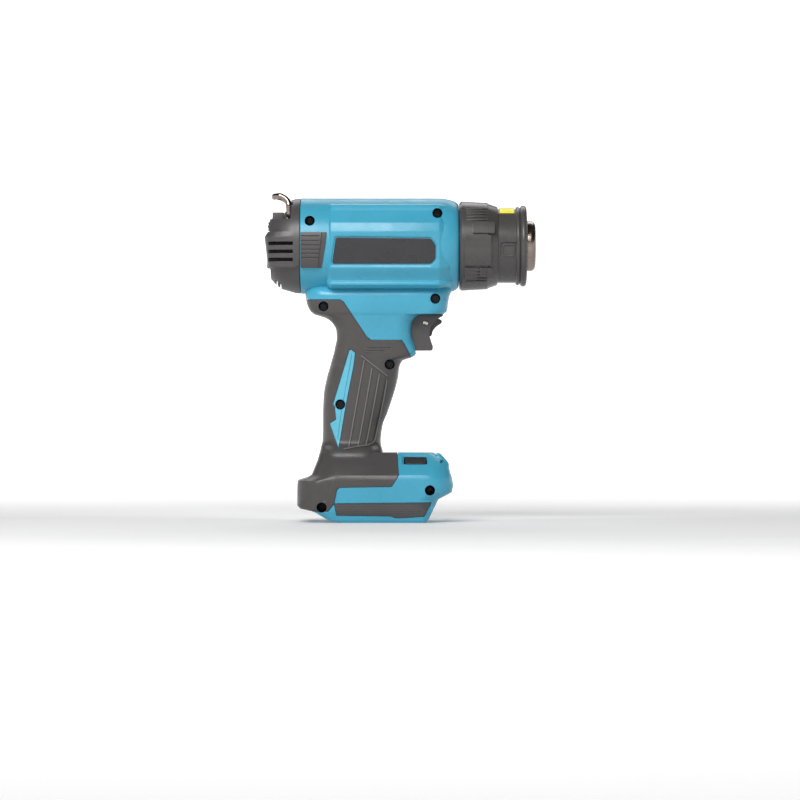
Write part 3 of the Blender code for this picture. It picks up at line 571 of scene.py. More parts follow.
class Paint:
    """The nodes of one material, made in the order that they are read."""

    def __init__(self, name):
        self.name = name
        self.material = bpy.data.materials.new("look_" + name)
        self.material.use_nodes = True
        self.tree = self.material.node_tree
        self.shader = self.tree.nodes["Principled BSDF"]
        self.place = self.node("ShaderNodeTexCoord").outputs["Object"]

    def node(self, kind, inputs=(), **settings):
        node = self.tree.nodes.new(kind)
        for key, value in settings.items():
            setattr(node, key, value)
        for key, value in dict(inputs).items():
            self.feed(node.inputs[key], value)
        return node

    def feed(self, socket, value):
        if isinstance(value, bpy.types.NodeSocket):
            self.tree.links.new(value, socket)
        else:
            socket.default_value = value

    def set(self, **inputs):
        for key, value in inputs.items():
            self.feed(self.shader.inputs[key.replace("_", " ")], value)

    def noise(self, size, detail=3.0, stretch=(1, 1, 1), seed=0.0):
        """Noise with features of about size millimetres, longer along a stretched axis."""
        scale = [1 / (size * MM * s) for s in stretch]
        where = self.node(
            "ShaderNodeMapping",
            {"Vector": self.place, "Scale": scale, "Location": (seed, seed * 0.7, seed * 1.3)},
        )
        inputs = {"Vector": where.outputs["Vector"], "Scale": 1.0, "Detail": detail}
        return self.node("ShaderNodeTexNoise", inputs).outputs["Fac"]

    def ranged(self, value, low, high, start=0.0, end=1.0):
        inputs = {"Value": value, "From Min": low, "From Max": high, "To Min": start, "To Max": end}
        return self.node("ShaderNodeMapRange", inputs).outputs["Result"]

    def math(self, operation, first, second=0.0):
        node = self.node("ShaderNodeMath", operation=operation)
        self.feed(node.inputs[0], first)
        self.feed(node.inputs[1], second)
        return node.outputs["Value"]

    def mix(self, share, first, second):
        node = self.node("ShaderNodeMix", data_type="RGBA")
        self.feed(node.inputs["Factor"], share)
        self.feed(node.inputs[6], first)
        self.feed(node.inputs[7], second)
        return node.outputs[2]

    def edges(self, radius):
        """The normal with every edge rounded, and a mask of the edges themselves."""
        bevel = self.node("ShaderNodeBevel", {"Radius": radius * MM}, samples=6)
        flat = self.node("ShaderNodeNewGeometry").outputs["Normal"]
        dot = self.node("ShaderNodeVectorMath", operation="DOT_PRODUCT")
        self.feed(dot.inputs[0], bevel.outputs["Normal"])
        self.feed(dot.inputs[1], flat)
        return bevel.outputs["Normal"], self.ranged(dot.outputs["Value"], 0.975, 0.87)

    def bump(self, height, depth, normal, strength=1.0):
        inputs = {"Height": height, "Distance": depth * MM, "Strength": strength, "Normal": normal}
        return self.node("ShaderNodeBump", inputs).outputs["Normal"]


def shade(colour, factor):
    """A lighter or darker colour, with its alpha."""
    return (*(min(value * factor, 1.0) for value in colour[:3]), 1.0)


def plastic(name, colour, rough, grain=0.9, depth=0.014, wear_and_highlight=0.5, wear_and_highlight_tint=1.7, edge_patch_threshold=0.42):
    """Moulded plastic or rubber: uneven colour, spark grain, handling marks, and patchy lighter edges
    that are partly rubbed wear and partly a painted highlight.
    """
    paint = Paint(name)
    normal, rim = paint.edges(0.45)
    broad = paint.noise(45, 2)
    cloud = paint.noise(12, 2, seed=3)
    fleck = paint.noise(2.2, 1, seed=9)
    tone = paint.mix(paint.ranged(broad, 0.3, 0.7), shade(colour, 0.92), shade(colour, 1.07))
    tone = paint.mix(paint.ranged(cloud, 0.3, 0.8, 0.0, 0.3), tone, shade(colour, 0.84))
    tone = paint.mix(paint.ranged(fleck, 0.3, 0.8, 0.0, 0.14), tone, shade(colour, 1.3))
    # Lighter patches along the edges: partly rubbed wear, partly a painted highlight on the edges.
    patchy = paint.ranged(paint.noise(3.0, 2, seed=5), edge_patch_threshold, edge_patch_threshold + 0.2)
    rub_and_highlight = paint.math("MULTIPLY", rim, patchy)
    tone = paint.mix(paint.math("MULTIPLY", rub_and_highlight, wear_and_highlight), tone, shade(colour, wear_and_highlight_tint))
    roughness = paint.ranged(paint.noise(11, 2, seed=2), 0.3, 0.7, rough - 0.06, rough + 0.07)
    roughness = paint.math("SUBTRACT", roughness, paint.math("MULTIPLY", rub_and_highlight, 0.12))
    normal = paint.bump(paint.noise(22, 2, seed=4), 0.12, normal, 0.5)
    normal = paint.bump(paint.noise(grain, 1), depth, normal)
    paint.set(Base_Color=tone, Roughness=roughness, Normal=normal)
    return paint


def metal(name, colour, rough, brush=(1, 1, 1), edge=0.25, spots=0.3, brushed=0.05):
    """Metal with a brushed or drawn surface, stains and brighter edges."""
    paint = Paint(name)
    normal, rim = paint.edges(edge)
    lines, stain = paint.noise(0.5, 4, brush), paint.noise(6, 5, seed=6)
    tone = paint.mix(paint.ranged(lines, 0.3, 0.7), shade(colour, 0.88), shade(colour, 1.1))
    tone = paint.mix(paint.ranged(stain, 0.5, 0.75, 0.0, spots), tone, shade(colour, 0.5))
    tone = paint.mix(paint.math("MULTIPLY", rim, 0.4), tone, shade(colour, 1.4))
    roughness = paint.ranged(lines, 0.3, 0.7, rough - brushed, rough + brushed)
    roughness = paint.math("ADD", roughness, paint.ranged(stain, 0.5, 0.8, 0.0, 0.18))
    normal = paint.bump(lines, 0.006, normal)
    paint.set(Base_Color=tone, Roughness=roughness, Metallic=1.0, Normal=normal)
    return paint


def nozzle_steel():
    """Stainless steel with turning lines, browned by heat towards the mouth."""
    paint = metal("nozzle_steel", (0.44, 0.41, 0.385), 0.22, (0.35, 9, 9), spots=0.35)
    tone = paint.shader.inputs["Base Color"].links[0].from_socket
    along = paint.node("ShaderNodeSeparateXYZ", {"Vector": paint.place}).outputs["X"]
    uneven = paint.ranged(paint.noise(5, 4, seed=8), 0.2, 0.8, -2.2 * MM, 2.2 * MM)
    ragged = paint.math("ADD", along, uneven)
    straw = paint.ranged(ragged, 52 * MM, 78 * MM, 0.1, 0.75)
    tone = paint.mix(straw, tone, (0.37, 0.295, 0.235, 1))
    violet = paint.math("MULTIPLY", paint.ranged(ragged, 80 * MM, 86 * MM), 0.35)
    tone = paint.mix(violet, tone, (0.19, 0.15, 0.17, 1))
    paint.set(Base_Color=tone)
    return paint


def ribbed(paint, pitch, depth):
    """Adds fine level lines to a finished material."""
    up = paint.node("ShaderNodeSeparateXYZ", {"Vector": paint.place}).outputs["Z"]
    wave = paint.math("SINE", paint.math("MULTIPLY", up, math.tau / (pitch * MM)))
    normal = paint.shader.inputs["Normal"].links[0].from_socket
    paint.set(Normal=paint.bump(wave, depth, normal))
    return paint


def make_looks():
    blue, dark = (0.052, 0.345, 0.500), (0.068, 0.061, 0.060)
    # The grip's strong, nearly unbroken edge lightening is mostly a painted highlight along its ribs,
    # seams and screw bosses.
    grip = plastic("soft_grip", dark, 0.37, 1.1, 0.022, wear_and_highlight=0.8, wear_and_highlight_tint=2.3, edge_patch_threshold=0.25)
    screw = plastic("black_screw", (0.036, 0.037, 0.040), 0.36, wear_and_highlight=0.8, wear_and_highlight_tint=4.0)
    screw.set(Metallic=0.9)
    board = plastic("circuit_board", (0.015, 0.14, 0.05), 0.35, grain=1.4, depth=0.03)
    board.set(Coat_Weight=0.4)
    paints = [
        plastic("body_blue", blue, 0.33, grain=1.3, depth=0.010, wear_and_highlight_tint=1.45),
        plastic("insert_blue", (0.11, 0.46, 0.61), 0.36, depth=0.010, wear_and_highlight_tint=1.3),
        grip,
        # The grip's ribs in a lighter grey: a painted highlight along the raised lines.
        plastic("rib_painted_highlight", (0.165, 0.150, 0.148), 0.30, wear_and_highlight=0.3),
        plastic("dark_plastic", (0.068, 0.063, 0.064), 0.36, depth=0.018),
        plastic("collar_plastic", (0.070, 0.064, 0.064), 0.29, depth=0.012, wear_and_highlight_tint=2.2),
        ribbed(plastic("foot_plastic", (0.064, 0.059, 0.060), 0.38), 1.5, 0.05),
        plastic("button_black", (0.028, 0.026, 0.028), 0.36),
        plastic("plate_grey", (0.032, 0.031, 0.034), 0.28, depth=0.006, wear_and_highlight=0.3),
        metal("chrome_wire", (0.36, 0.31, 0.27), 0.17, (6, 6, 6), spots=0.3),
        nozzle_steel(),
        plastic("label_yellow", (0.98, 0.88, 0.04), 0.38, depth=0.006, wear_and_highlight_tint=1.1),
        screw,
        metal("motor_steel", (0.52, 0.52, 0.53), 0.32, (8, 0.6, 0.6)),
        metal("pin_brass", (0.70, 0.60, 0.42), 0.30),
        plastic("mica", (0.55, 0.45, 0.29), 0.42, grain=1.8, depth=0.05, wear_and_highlight_tint=1.3),
        plastic("ceramic", (0.78, 0.74, 0.66), 0.72, depth=0.03, wear_and_highlight_tint=1.1),
        metal("resistance_wire", (0.36, 0.31, 0.27), 0.42, spots=0.6),
        plastic("fan_white", (0.62, 0.62, 0.59), 0.40, wear_and_highlight_tint=1.2),
        board,
        metal("terminal_brass", (0.78, 0.56, 0.24), 0.24, (9, 9, 0.5)),
        plastic("lead_rubber", (0.24, 0.018, 0.016), 0.50),
    ]
    return {paint.name: paint.material for paint in paints}


LOOKS = make_looks()


def finish(name, mesh, look, body, node=None, angle=30.0):
    """A finished piece: its look and shading, the body that it rides and the part it stands for."""
    mesh.name = name
    mesh.materials.clear()
    mesh.materials.append(LOOKS[look])
    mesh.shade_smooth()
    mesh.set_sharp_from_angle(angle=math.radians(angle))
    obj = bpy.data.objects.new("vis_" + name, mesh)
    bpy.context.scene.collection.objects.link(obj)
    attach(obj, body)
    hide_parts(node or name)


# -------- casings


def half_space(side):
    """Everything on one side of the seam."""
    return box(ALL_X, ordered(side, SPLIT, 90), ALL_Z)


def barrel_profile():
    """The solid barrel: a small lip at the rear seam, a rounded shoulder and the spigot."""
    reach = (BARREL_FRONT - NOSE_X, NOSE_DROP)
    nose = arc((NOSE_X, BARREL_R - NOSE_DROP), reach, 0, 90, 14)
    rear = [(BARREL_REAR + 0.5, BARREL_R), (BARREL_REAR, BARREL_R - 0.5), (BARREL_REAR, 0.0)]
    spigot = [(SPIGOT_FRONT, 0.0), (SPIGOT_FRONT, SPIGOT_R), (BARREL_FRONT, SPIGOT_R)]
    return [*spigot, *nose, *rear]


def barrel_bore(front_r, throat_r, rear_r):
    """The hollow of the barrel, wider in its rear."""
    front = [(60, 0), (60, front_r), (THROAT_X, front_r), (THROAT_X, throat_r)]
    return turned([*front, (22, rear_r), (-80, rear_r), (-80, 0)], 96, 1.7)


def handle_cavity():
    return lofted(FINE_HANDLE, CAVITY, -6.0, 1.0)


def foot_cavity():
    return lofted(FOOT, CAVITY, ROOF_Z + 2.5, CAVITY)


def openings():
    """The hollows across the seam: the battery's slide and grooves, the terminals, the trigger."""
    trigger_half = TRIGGER_HALF + 0.4
    return (
        box((SLIDE_REAR, 60), (-SLIDE_HALF, SLIDE_HALF), (-5, ROOF_Z)),
        box((SLIDE_REAR, 60), (-GROOVE_HALF, GROOVE_HALF), GROOVE_Z),
        box(TERMINAL_X, (-TERMINAL_HALF, TERMINAL_HALF), (5, 30)),
        box(TRIGGER_X, (-trigger_half, trigger_half), TRIGGER_Z),
    )


def pod():
    """The faceted bulge on both sides of the barrel, with slanted ends."""
    rings = []
    for x, inward in ((-47.4, 3.6), (-44.9, 0.0), (25.0, 0.0), (31.2, 4.2), (33.0, 7.0)):
        squeeze = inward * 0.012
        half = [(x, -max(y - inward, 1.0), z + (AXIS_Z - z) * squeeze) for y, z in POD_SECTION]
        rings.append([*half, *((px, -py, pz) for px, py, pz in reversed(half))])
    return softened(skin_over(rings), 0.5, 2, 9.0)


def shoulder_frame(x, z):
    """A point on the foot's right shoulder, the way up its slope and straight out of it."""
    low, high = (FOOT[-3], FOOT[-2]) if z <= FOOT[-2][0] else (FOOT[-2], FOOT[-1])
    share = (z - low[0]) / (high[0] - low[0])
    y = -(low[3] + (high[3] - low[3]) * share)
    up = Vector((0, low[3] - high[3], high[0] - low[0])).normalized()
    return Vector((x, y, z)), up, Vector((0, -up.z, up.y))


def button_block(grow, low, high, slope=0.0):
    """A block square to the shoulder, from one depth along its normal to another."""
    centre, up, out = shoulder_frame(*BUTTON_AT)
    half_x, half_s = BUTTON_HALF[0] + grow, BUTTON_HALF[1] + grow
    corners = [(-half_x, -half_s), (half_x, -half_s), (half_x, half_s), (-half_x, half_s)]
    outline = rounded(corners, 1.2)
    rings = [[(u, v, low) for u, v in outline], [(u, v, high) for u, v in grown(outline, slope)]]
    turn = Matrix((Vector((1, 0, 0)), up, out)).transposed().to_4x4()
    return moved(skin_over(rings), Matrix.Translation(centre * MM) @ turn)


def shell_body():
    """Both halves of the hard shell in one, before it is split and drilled."""
    whole = cut(add(lofted(FINE_HANDLE), lofted(FOOT)), prism(grown(SOFT_AREA, GAP), -FAR, FAR))
    whole = add(whole, lofted(FINE_HANDLE, CORE, 0.5, 0.5), lofted(FOOT, CORE, 1.0, CORE))
    whole = add(whole, turned(barrel_profile()), pod())
    return cut(whole, barrel_bore(17.6, 22.6, BORE_R), handle_cavity(), foot_cavity())


def make_tongue():
    """The tongue and groove that closes the seam, set back from the outside."""
    depth = TONGUE_DEPTH
    front, rear, radius = BARREL_FRONT - depth, BARREL_REAR + depth, BARREL_R - depth
    barrel = turned([(front, 0), (front, NOSE_X), (NOSE_X, radius), (rear, radius), (rear, 0)])
    tongue = add(lofted(FINE_HANDLE, depth, 0.5, 0.5), lofted(FOOT, depth, depth, depth), barrel)
    hollows = (barrel_bore(20.5, 22.8, BORE_R + 0.2), handle_cavity(), foot_cavity())
    tongue = cut(tongue, *hollows, *openings())
    tongue = keep(tongue, box(ALL_X, (-0.25, 0.25), ALL_Z))
    finish("seam_tongue", tongue, "dark_plastic", "housing", "housing_left")


def foot_lug(side):
    """The rounded lug on the foot's front shoulder, with a small eye in it."""
    points = []
    for x, y, z in ((24.6, 19.4, 41.0), (28.2, 20.4, 36.8)):
        for rise in range(-90, 91, 30):
            level = LUG_R * math.cos(math.radians(rise))
            height = z + LUG_R * math.sin(math.radians(rise))
            points += [(px, py, height) for px, py in arc((x, side * y), (level, level), 0, 330, 11)]
    eye = rod(*ordered(side, 21.6, 40), 1.2, (26.6, 39.0), 24)
    return hull(points), eye


def foot_step(outline, side, outer, inner):
    """A thin piece of the foot's side between two insets."""
    step = cut(lofted(FOOT, outer, 0.5 * outer), lofted(FOOT, inner, -6.0, -6.0))
    return keep(step, prism(outline, *ordered(side, 20, 60)))


def plate_recess(side):
    """The shallow pocket of the plate, with a sloping edge."""
    inner = rounded(grown(NAMEPLATE, 0.9), 1.4)
    levels = ((0.0, inner), (0.55, inner), (2.2, grown(inner, 6.4)))
    floor = POD_HALF - PLATE_DEPTH
    return skin_over([[(x, side * (floor + rise), z) for x, z in ring] for rise, ring in levels])


def make_housing(side, body):
    """One clamshell half, with its details on the outside."""
    bosses = [rod(*ordered(side, 0, seat + 4), BOSS_R, (x, z), 24) for x, z, seat in SCREWS]
    half = keep(add(body.copy(), *bosses), half_space(side))
    drills = []
    shank = SCREW_SHANK_R + 0.4
    for x, z, seat in SCREWS:
        if side < 0:
            drills.append(rod(-FAR, -seat + GAP, SCREW_HOLE_R, (x, z)))
            drills.append(rod(-seat - 1, 5, shank, (x, z), 20))
        else:
            drills.append(rod(-5, SCREW_REACH + 1, shank, (x, z), 20))
    panel_recess = foot_step(grown(FOOT_PANEL, GAP), side, -3.0, FOOT_PANEL_DEPTH + GAP)
    half = cut(half, *drills, *openings(), plate_recess(side), panel_recess)
    if side < 0:
        half = cut(half, button_block(GAP, -9.0, 6.0), button_block(0.7, -0.9, 0.6, 1.4))
    lug, eye = foot_lug(side)
    half = cut(add(half, lug), eye, foot_cavity())
    finish("housing_" + NAMES[side], half, "body_blue", "housing", angle=24.0)


def surface_band(outer, inner):
    """The space between two insets of the handle, for ribs and grooves on it."""
    return cut(lofted(FINE_HANDLE, outer), lofted(FINE_HANDLE, inner, -3.0, -3.0))


def on_side(outline, side):
    """An outline as a solid that crosses one side of the handle."""
    return prism(outline, *ordered(side, 3, 40))


def curved_strip(points, width, count):
    """A narrow band along a smooth curve."""
    return strip([tuple(p) for p in smooth_path(points, count)], width)


def make_ribs(side):
    """Raised lines on the soft grip, in a lighter grey that is a painted highlight along them."""
    band = surface_band(-0.8, 0.6)
    ribs = [keep(band.copy(), on_side(curved_strip(line, RIB_WIDTH, 5), side)) for line in GRIP_RIBS]
    name = "grip_" + NAMES[side]
    finish(name + "_ribs", add(*ribs), "rib_painted_highlight", "housing", name)


def hatch_lines(side):
    """Level grooves within the patch for the thumb."""
    band = surface_band(-1.0, 0.6)
    low, high = HATCH[3][1], HATCH[0][1]
    lines = []
    for row in range(int((high - low) / HATCH_STEP)):
        z = low + 0.3 + row * HATCH_STEP
        level = box((-30, 5), ordered(side, 3, 40), (z, z + HATCH_WIDTH))
        lines.append(keep(band.copy(), level, on_side(HATCH, side)))
    return lines


def make_grip(side):
    """The soft overmould: a hatched thumb patch, a step on the foot and a window for the insert."""
    grip = add(lofted(FINE_HANDLE), lofted(FOOT))
    grip = cut(grip, lofted(FINE_HANDLE, SKIN, -1.0, -1.0), lofted(FOOT, SKIN, -2.0, SKIN))
    grip = cut(grip, *hatch_lines(side))
    grip = add(grip, foot_step(rounded(FOOT_BAND, 1.0, 3), side, -0.5, 1.2))
    grip = keep(grip, prism(SOFT_AREA, *ordered(side, SPLIT, FAR)))
    grip = cut(grip, prism(grown(FLASH, GAP), *ordered(side, 10, FAR)))
    radius = SCREW_HOLE_R if side < 0 else 0.5
    grip = cut(grip, *[rod(-FAR, FAR, radius, (x, z)) for x, z, _ in SCREWS])
    finish("grip_" + NAMES[side], grip, "soft_grip", "housing", angle=24.0)


def make_insert(side):
    """The bright flash in the grip, with a crease along its front edge."""
    insert = cut(lofted(FINE_HANDLE, -0.2), lofted(FINE_HANDLE, SKIN, -3.0, -3.0))
    insert = keep(insert, prism(FLASH, *ordered(side, 10, FAR)))
    crease = on_side(curved_strip(FLASH_CREASE, CREASE_WIDTH, 4), side)
    insert = cut(insert, keep(surface_band(-2.0, 0.15), crease))
    if side < 0:
        insert = cut(insert, rod(-FAR, 0, SCREW_HOLE_R, FLASH_SCREW[:2]))
    finish("grip_insert_" + NAMES[side], insert, "insert_blue", "housing")


def make_foot_panel(side):
    panel = foot_step(rounded(FOOT_PANEL, 0.8), side, -0.3, FOOT_PANEL_DEPTH)
    finish("foot_panel_" + NAMES[side], panel, "foot_plastic", "housing")


def make_side_panel(side):
    """The panel at the back of the barrel, with grooves across it and a thinner front edge."""
    ring = turned([(-40, 32.3), (-70, 32.3), (-70, BARREL_R + GAP), (-40, BARREL_R + GAP)])
    panel = keep(ring, prism(rounded(SIDE_PANEL, 0.7), *ordered(side, 5, 60)))
    outside = turned([(-44, 40), (-72, 40), (-72, 31.75), (-44, 31.75)])
    beside = ordered(side, 20, 60)
    grooves = [keep(outside.copy(), box((-66, -52.0), beside, (z, z + 0.8))) for z in PANEL_GROOVES]
    front = prism([(-50.2, 190), (-40, 190), (-40, 160), (-53.6, 160)], *beside)
    slope = keep(turned([(-40, 40), (-72, 40), (-72, 31.9), (-40, 31.2)]), front)
    panel = cut(panel, *grooves, slope)
    finish("side_panel_" + NAMES[side], panel, "dark_plastic", "housing")


def make_nameplate(side):
    inner, outer = side * (POD_HALF - PLATE_DEPTH + GAP), side * (POD_HALF - 0.05)
    plate = prism(rounded(NAMEPLATE, 1.4), inner, outer, chamfer=0.25)
    finish("nameplate_" + NAMES[side], plate, "plate_grey", "housing")


# -------- rear cover, hook and dial


def cover_profile(inset=0.0):
    """The cover's cup, or with an inset the hollow in it."""
    corners = [(-64.0, 31.0), (-68.0, 30.6), (-77.0, 28.0), (-80.8, 25.2), (-84.0, 21.6)]
    points = [(x + inset, radius - inset) for x, radius in corners]
    return [(points[0][0] + 8 * (inset > 0), 0.0), *points, (points[-1][0], 0.0)]


def grille_slab():
    """The band that holds the slots: it tapers downwards and has a bevel at its top."""
    levels = ((163.6, -84.6, 0.6), (164.6, -85.5, 0.0), (184.0, -87.7, 0.0), (187.2, -87.2, 1.6))
    front, half, radius = -60.0, 28.8, 10.0
    rings = [level_ring((z, rear, front, half, radius), inset, 16) for z, rear, inset in levels]
    return skin_over(rings)


def make_rear_cover():
    """A vented cup with the dial's hood and the hook's lug on its back."""
    deck = 195.7
    cover = add(turned(cover_profile()), grille_slab())
    cover = keep(cover, box((-120, -65.0), ALL_Y, (120, 240)))
    cover = cut(cover, box((-120, -70.9), ALL_Y, (deck, 240)))
    for side in SIDES:
        leg = ordered(side, HOOK_HALF - 2.4, HOOK_HALF + 2.4)
        cover = cut(cover, box((-75, HOOK_PIVOT[0] + WIRE_R + 0.4), leg, (deck, 240)))
    hood = softened(box((-82.9, -75.4), (-8, 8), (194, 200.4)), 0.7)
    cover = add(cover, hood, rod(-9.6, 9.6, 3.6, HOOK_PIVOT, 48))
    under_deck = box((-120, -67.5), ALL_Y, (deck - 2.5, 240))
    cover = cut(cover, cut(turned(cover_profile(2.4), 96, 1.7), under_deck))
    for slot in COVER_SLOTS:
        sides = [box((-85.0, -69.2), ordered(side, 15, 40), slot) for side in SIDES]
        cover = cut(cover, *sides, box((-95, -80), (-16, 16), slot))
    fins = [box((-86.4, -66.5), (y - 0.5, y + 0.5), (164.5, 186)) for y in (-8, 0, 8)]
    cover = add(cover, *fins)
    teeth = [box((x, x + 1.1), (-12, 12), (140, 157)) for x in (-80.7, -78.3)]
    cover = cut(
        cover,
        *teeth,
        rod(-4.1, 4.1, DIAL_R + 0.6, DIAL_CENTRE, 64),
        box((-95, DIAL_CENTRE[0]), (-4.1, 4.1), (187.3, 196.4)),
        rod(-20, 20, WIRE_R + GAP, HOOK_PIVOT, 32),
        rod(3.0, 7.0, 1.9, DIAL_CENTRE, 32),
    )
    finish("rear_cover", cover, "dark_plastic", "housing", angle=26.0)


def make_hook():
    """The bail: bright round wire with one smooth bend at each corner."""
    x, z = HOOK_PIVOT
    path = [(x, -6.2, z), (x, -8.4, z), (x, -HOOK_HALF + 1.9, z), (x, -HOOK_HALF + 0.5, z + 0.6)]
    path += [(x, -HOOK_HALF, z + 2.2), (x - 0.4, -HOOK_HALF, z + 6.0)]
    for step in range(1, 6):
        angle = math.radians(15 * step)
        bend = (1 - math.cos(angle), math.sin(angle))
        path.append((x - 0.4 - 8.4 * bend[0], -HOOK_HALF + 0.45 * step, z + 6.0 + 7.0 * bend[1]))
    path += [(x - 9.2, -HOOK_HALF + 5.0, z + 12.6), (x - 10.0, -4.0, z + 12.4)]
    whole = path + [(px, -py, pz) for px, py, pz in reversed(path)]
    wire = tube(smooth_path(whole, 6), WIRE_R)
    finish("hanging_hook", wire, "chrome_wire", "hook", angle=60.0)


def make_dial():
    """A coarse thumbwheel with notches round its rim and a ring sunk into each face."""
    dial = rod(-DIAL_HALF, DIAL_HALF, DIAL_R, DIAL_CENTRE, 120)
    rim = (DIAL_R + 0.25, DIAL_R + 0.25)
    first, last = 180 / NOTCHES, 360 - 180 / NOTCHES
    notches = [rod(-9, 9, 0.75, at, 14) for at in arc(DIAL_CENTRE, rim, first, last, NOTCHES - 1)]
    faces = []
    for side in SIDES:
        disc = rod(*ordered(side, DIAL_HALF - 0.5, 9), 5.2, DIAL_CENTRE, 60)
        faces.append(cut(disc, rod(-9, 9, 3.0, DIAL_CENTRE)))
    dial = cut(dial, *notches, *faces, rod(-9, 9, 1.8, DIAL_CENTRE, 32))
    finish("temperature_dial", dial, "dark_plastic", "dial")


# -------- nozzle end


def make_lock_ring():
    """The turning collar: fine ribs on four corners, pads and stepped blocks on each side."""
    profile = [(63.0, 25.0), (62.4, 25.6), (56.9, 27.5), (56.3, 28.1), (39.6, COLLAR_R)]
    ring = turned([*profile, (38.2, 27.8), (38.2, 24.3), (63.0, 24.3)])
    for corner in (46, 134, 226, 314):
        for step in range(-2, 3):
            rib = softened(box((42.4, 55.6), (-0.55, 0.55), (26.0, COLLAR_R + 0.45)), 0.25, 2)
            ring = add(ring, about_barrel(rib, corner + 5 * step))
    blocks = (
        # x, z and radius
        ((41.5, 58.4), (165.3, 184.8), 30.3),
        ((46.4, 60.8), (186.2, 193.6), 29.9),
        ((41.2, 50.0), (156.6, 163.9), 30.1),
        ((51.0, 59.4), (158.0, 163.9), 29.5),
    )
    for side in SIDES:
        for (rear, front), (low, high), radius in blocks:
            profile = [(front, radius - 1.2), (rear, radius), (rear, 25.5), (front, 25.5)]
            outline = rounded([(rear, low), (front, low), (front, high), (rear, high)], 0.9)
            block = keep(turned(profile, ROUND, 0.8), prism(outline, *ordered(side, 5, 60)))
            ring = add(ring, block)
    finish("lock_ring", ring, "collar_plastic", "collar")


def make_nozzle_guard():
    """The heat guard: a tube with a framed recess on each side and a double bead at its front."""
    beads = [*arc((79.6, 24.2), (2.2, 2.2), 0, 180, 15), *arc((76.0, 23.9), (1.5, 1.6), 0, 180, 15)]
    body = [(74.2, GUARD_R), (41.0, GUARD_R), (41.0, 21.6), (79.4, 21.6), (79.4, 17.4), (81.8, 17.4)]
    guard = turned([*beads, *body])
    square = [(64.4, 170.1), (75.0, 170.1), (75.0, 180.6), (64.4, 180.6)]
    for side in SIDES:
        guard = cut(guard, prism(rounded(square, 1.6), *ordered(side, 22.6, 40)))
        border = prism(rounded(grown(square, -1.2), 1.3), *ordered(side, 21.8, 23.4))
        window = prism(rounded(grown(square, -2.0), 1.2), *ordered(side, 20, 40))
        guard = add(guard, cut(border, window))
    finish("nozzle_guard", guard, "collar_plastic", "guard")


def make_heat_label():
    """A blank yellow patch on top of the guard."""
    top, low = GUARD_R + 0.9, GUARD_R + GAP
    outer = [(73.6, top - 0.2), (73.3, top), (64.4, top), (64.1, top - 0.2)]
    ring = turned([*outer, (64.1, low), (73.6, low)], 240)
    label = keep(ring, box((60, 76), (-12.6, 12.6), (AXIS_Z + 15, 220)))
    finish("heat_label", label, "label_yellow", "guard")


def make_nozzle_tube():
    """The steel tube with its rolled lip."""
    lip = arc((84.4, 13.0), (3.3, 3.3), 0, 90, 9)
    seam = [(82.4, TUBE_R), (82.2, TUBE_R - 0.12), (82.0, TUBE_R)]
    inner = [(-6.0, 15.6), (83.0, 15.6), (84.2, 15.0), (84.8, 13.4)]
    steel = turned([*lip, *seam, (-6.0, TUBE_R), *inner])
    finish("nozzle_tube", steel, "nozzle_steel", "housing")


# -------- trigger, button and screws


def pin_hole():
    return rod(-20, 20, 1.5, LEVER_PIVOT, 32)


def make_trigger():
    """The trigger with a slot for the lever and shallow grip lines."""
    trigger = softened(prism(rounded(TRIGGER, 1.2, 3), -TRIGGER_HALF, TRIGGER_HALF), 1.1, 4, 50.0)
    slot = box((11.6, 40), (-LEVER_HALF - 0.5, LEVER_HALF + 0.5), (117.6, 140))
    lines = []
    for i in range(3):
        low = 112.6 + 1.1 * i
        line = box((18.0 + 0.05 * i, 30), (-7, 7), (low, low + 0.4))
        lines.append(cut(line, rod(-20, 20, 20.0, (0.4, 113.6 + i), 60)))
    trigger = cut(trigger, slot, pin_hole(), *lines)
    finish("trigger", trigger, "dark_plastic", "trigger_body")


def make_lever():
    """The lock-off lever in the trigger's slot, and the pin that it turns on."""
    lever = softened(prism(rounded(LEVER, 1.0, 3), -LEVER_HALF, LEVER_HALF), 0.6, 3, 50.0)
    finish("lock_off_lever", cut(lever, pin_hole()), "dark_plastic", "lever")
    pin = softened(rod(-8.8, 8.8, 1.2, LEVER_PIVOT, 32), 0.3)
    finish("lever_pin", pin, "pin_brass", "trigger_body")


def make_button():
    """The mode button: a key with soft edges, square to the foot's shoulder."""
    key = softened(button_block(-0.05, -6.0, -0.6, -0.3), 0.35, 3, 50.0)
    finish("mode_button", key, "button_black", "button")


def make_screws():
    """Pan heads with a hexagonal socket, as they are seen down their holes."""
    for number, (x, z, seat) in enumerate(SCREWS, 1):
        head = softened(rod(-seat - 2.2, -seat, SCREW_HEAD_R, (x, z), 48), 0.5)
        screw = add(head, rod(-seat - 0.6, SCREW_REACH, SCREW_SHANK_R, (x, z), 24))
        screw = cut(screw, rod(-seat - 5, -seat - 0.9, 1.45, (x, z), 6))
        finish(f"housing_screw_{number}", screw, "black_screw", "housing")


# -------- inside pieces, light and camera


INSIDE = {
    "motor_steel": ("dial_potentiometer", "heater_flange", "fan_motor"),
    "mica": ("mica_sleeve",),
    "ceramic": ("heater_core", "thermal_cutout"),
    "resistance_wire": ("heater_coil",),
    "fan_white": ("fan_impeller", "fan_shroud", "motor_mount", "switch_plunger"),
    "dark_plastic": ("trigger_switch", "terminal_block"),
    "circuit_board": ("control_board",),
    "terminal_brass": ("terminal_negative", "terminal_positive"),
    "lead_rubber": ("power_leads", "motor_leads"),
}


def paint_inside():
    """The pieces inside keep their plain shapes and get the finished looks."""
    for look, names in INSIDE.items():
        for name in names:
            materials = frame["nodes"][name].data.materials
            materials.clear()
            materials.append(LOOKS[look])


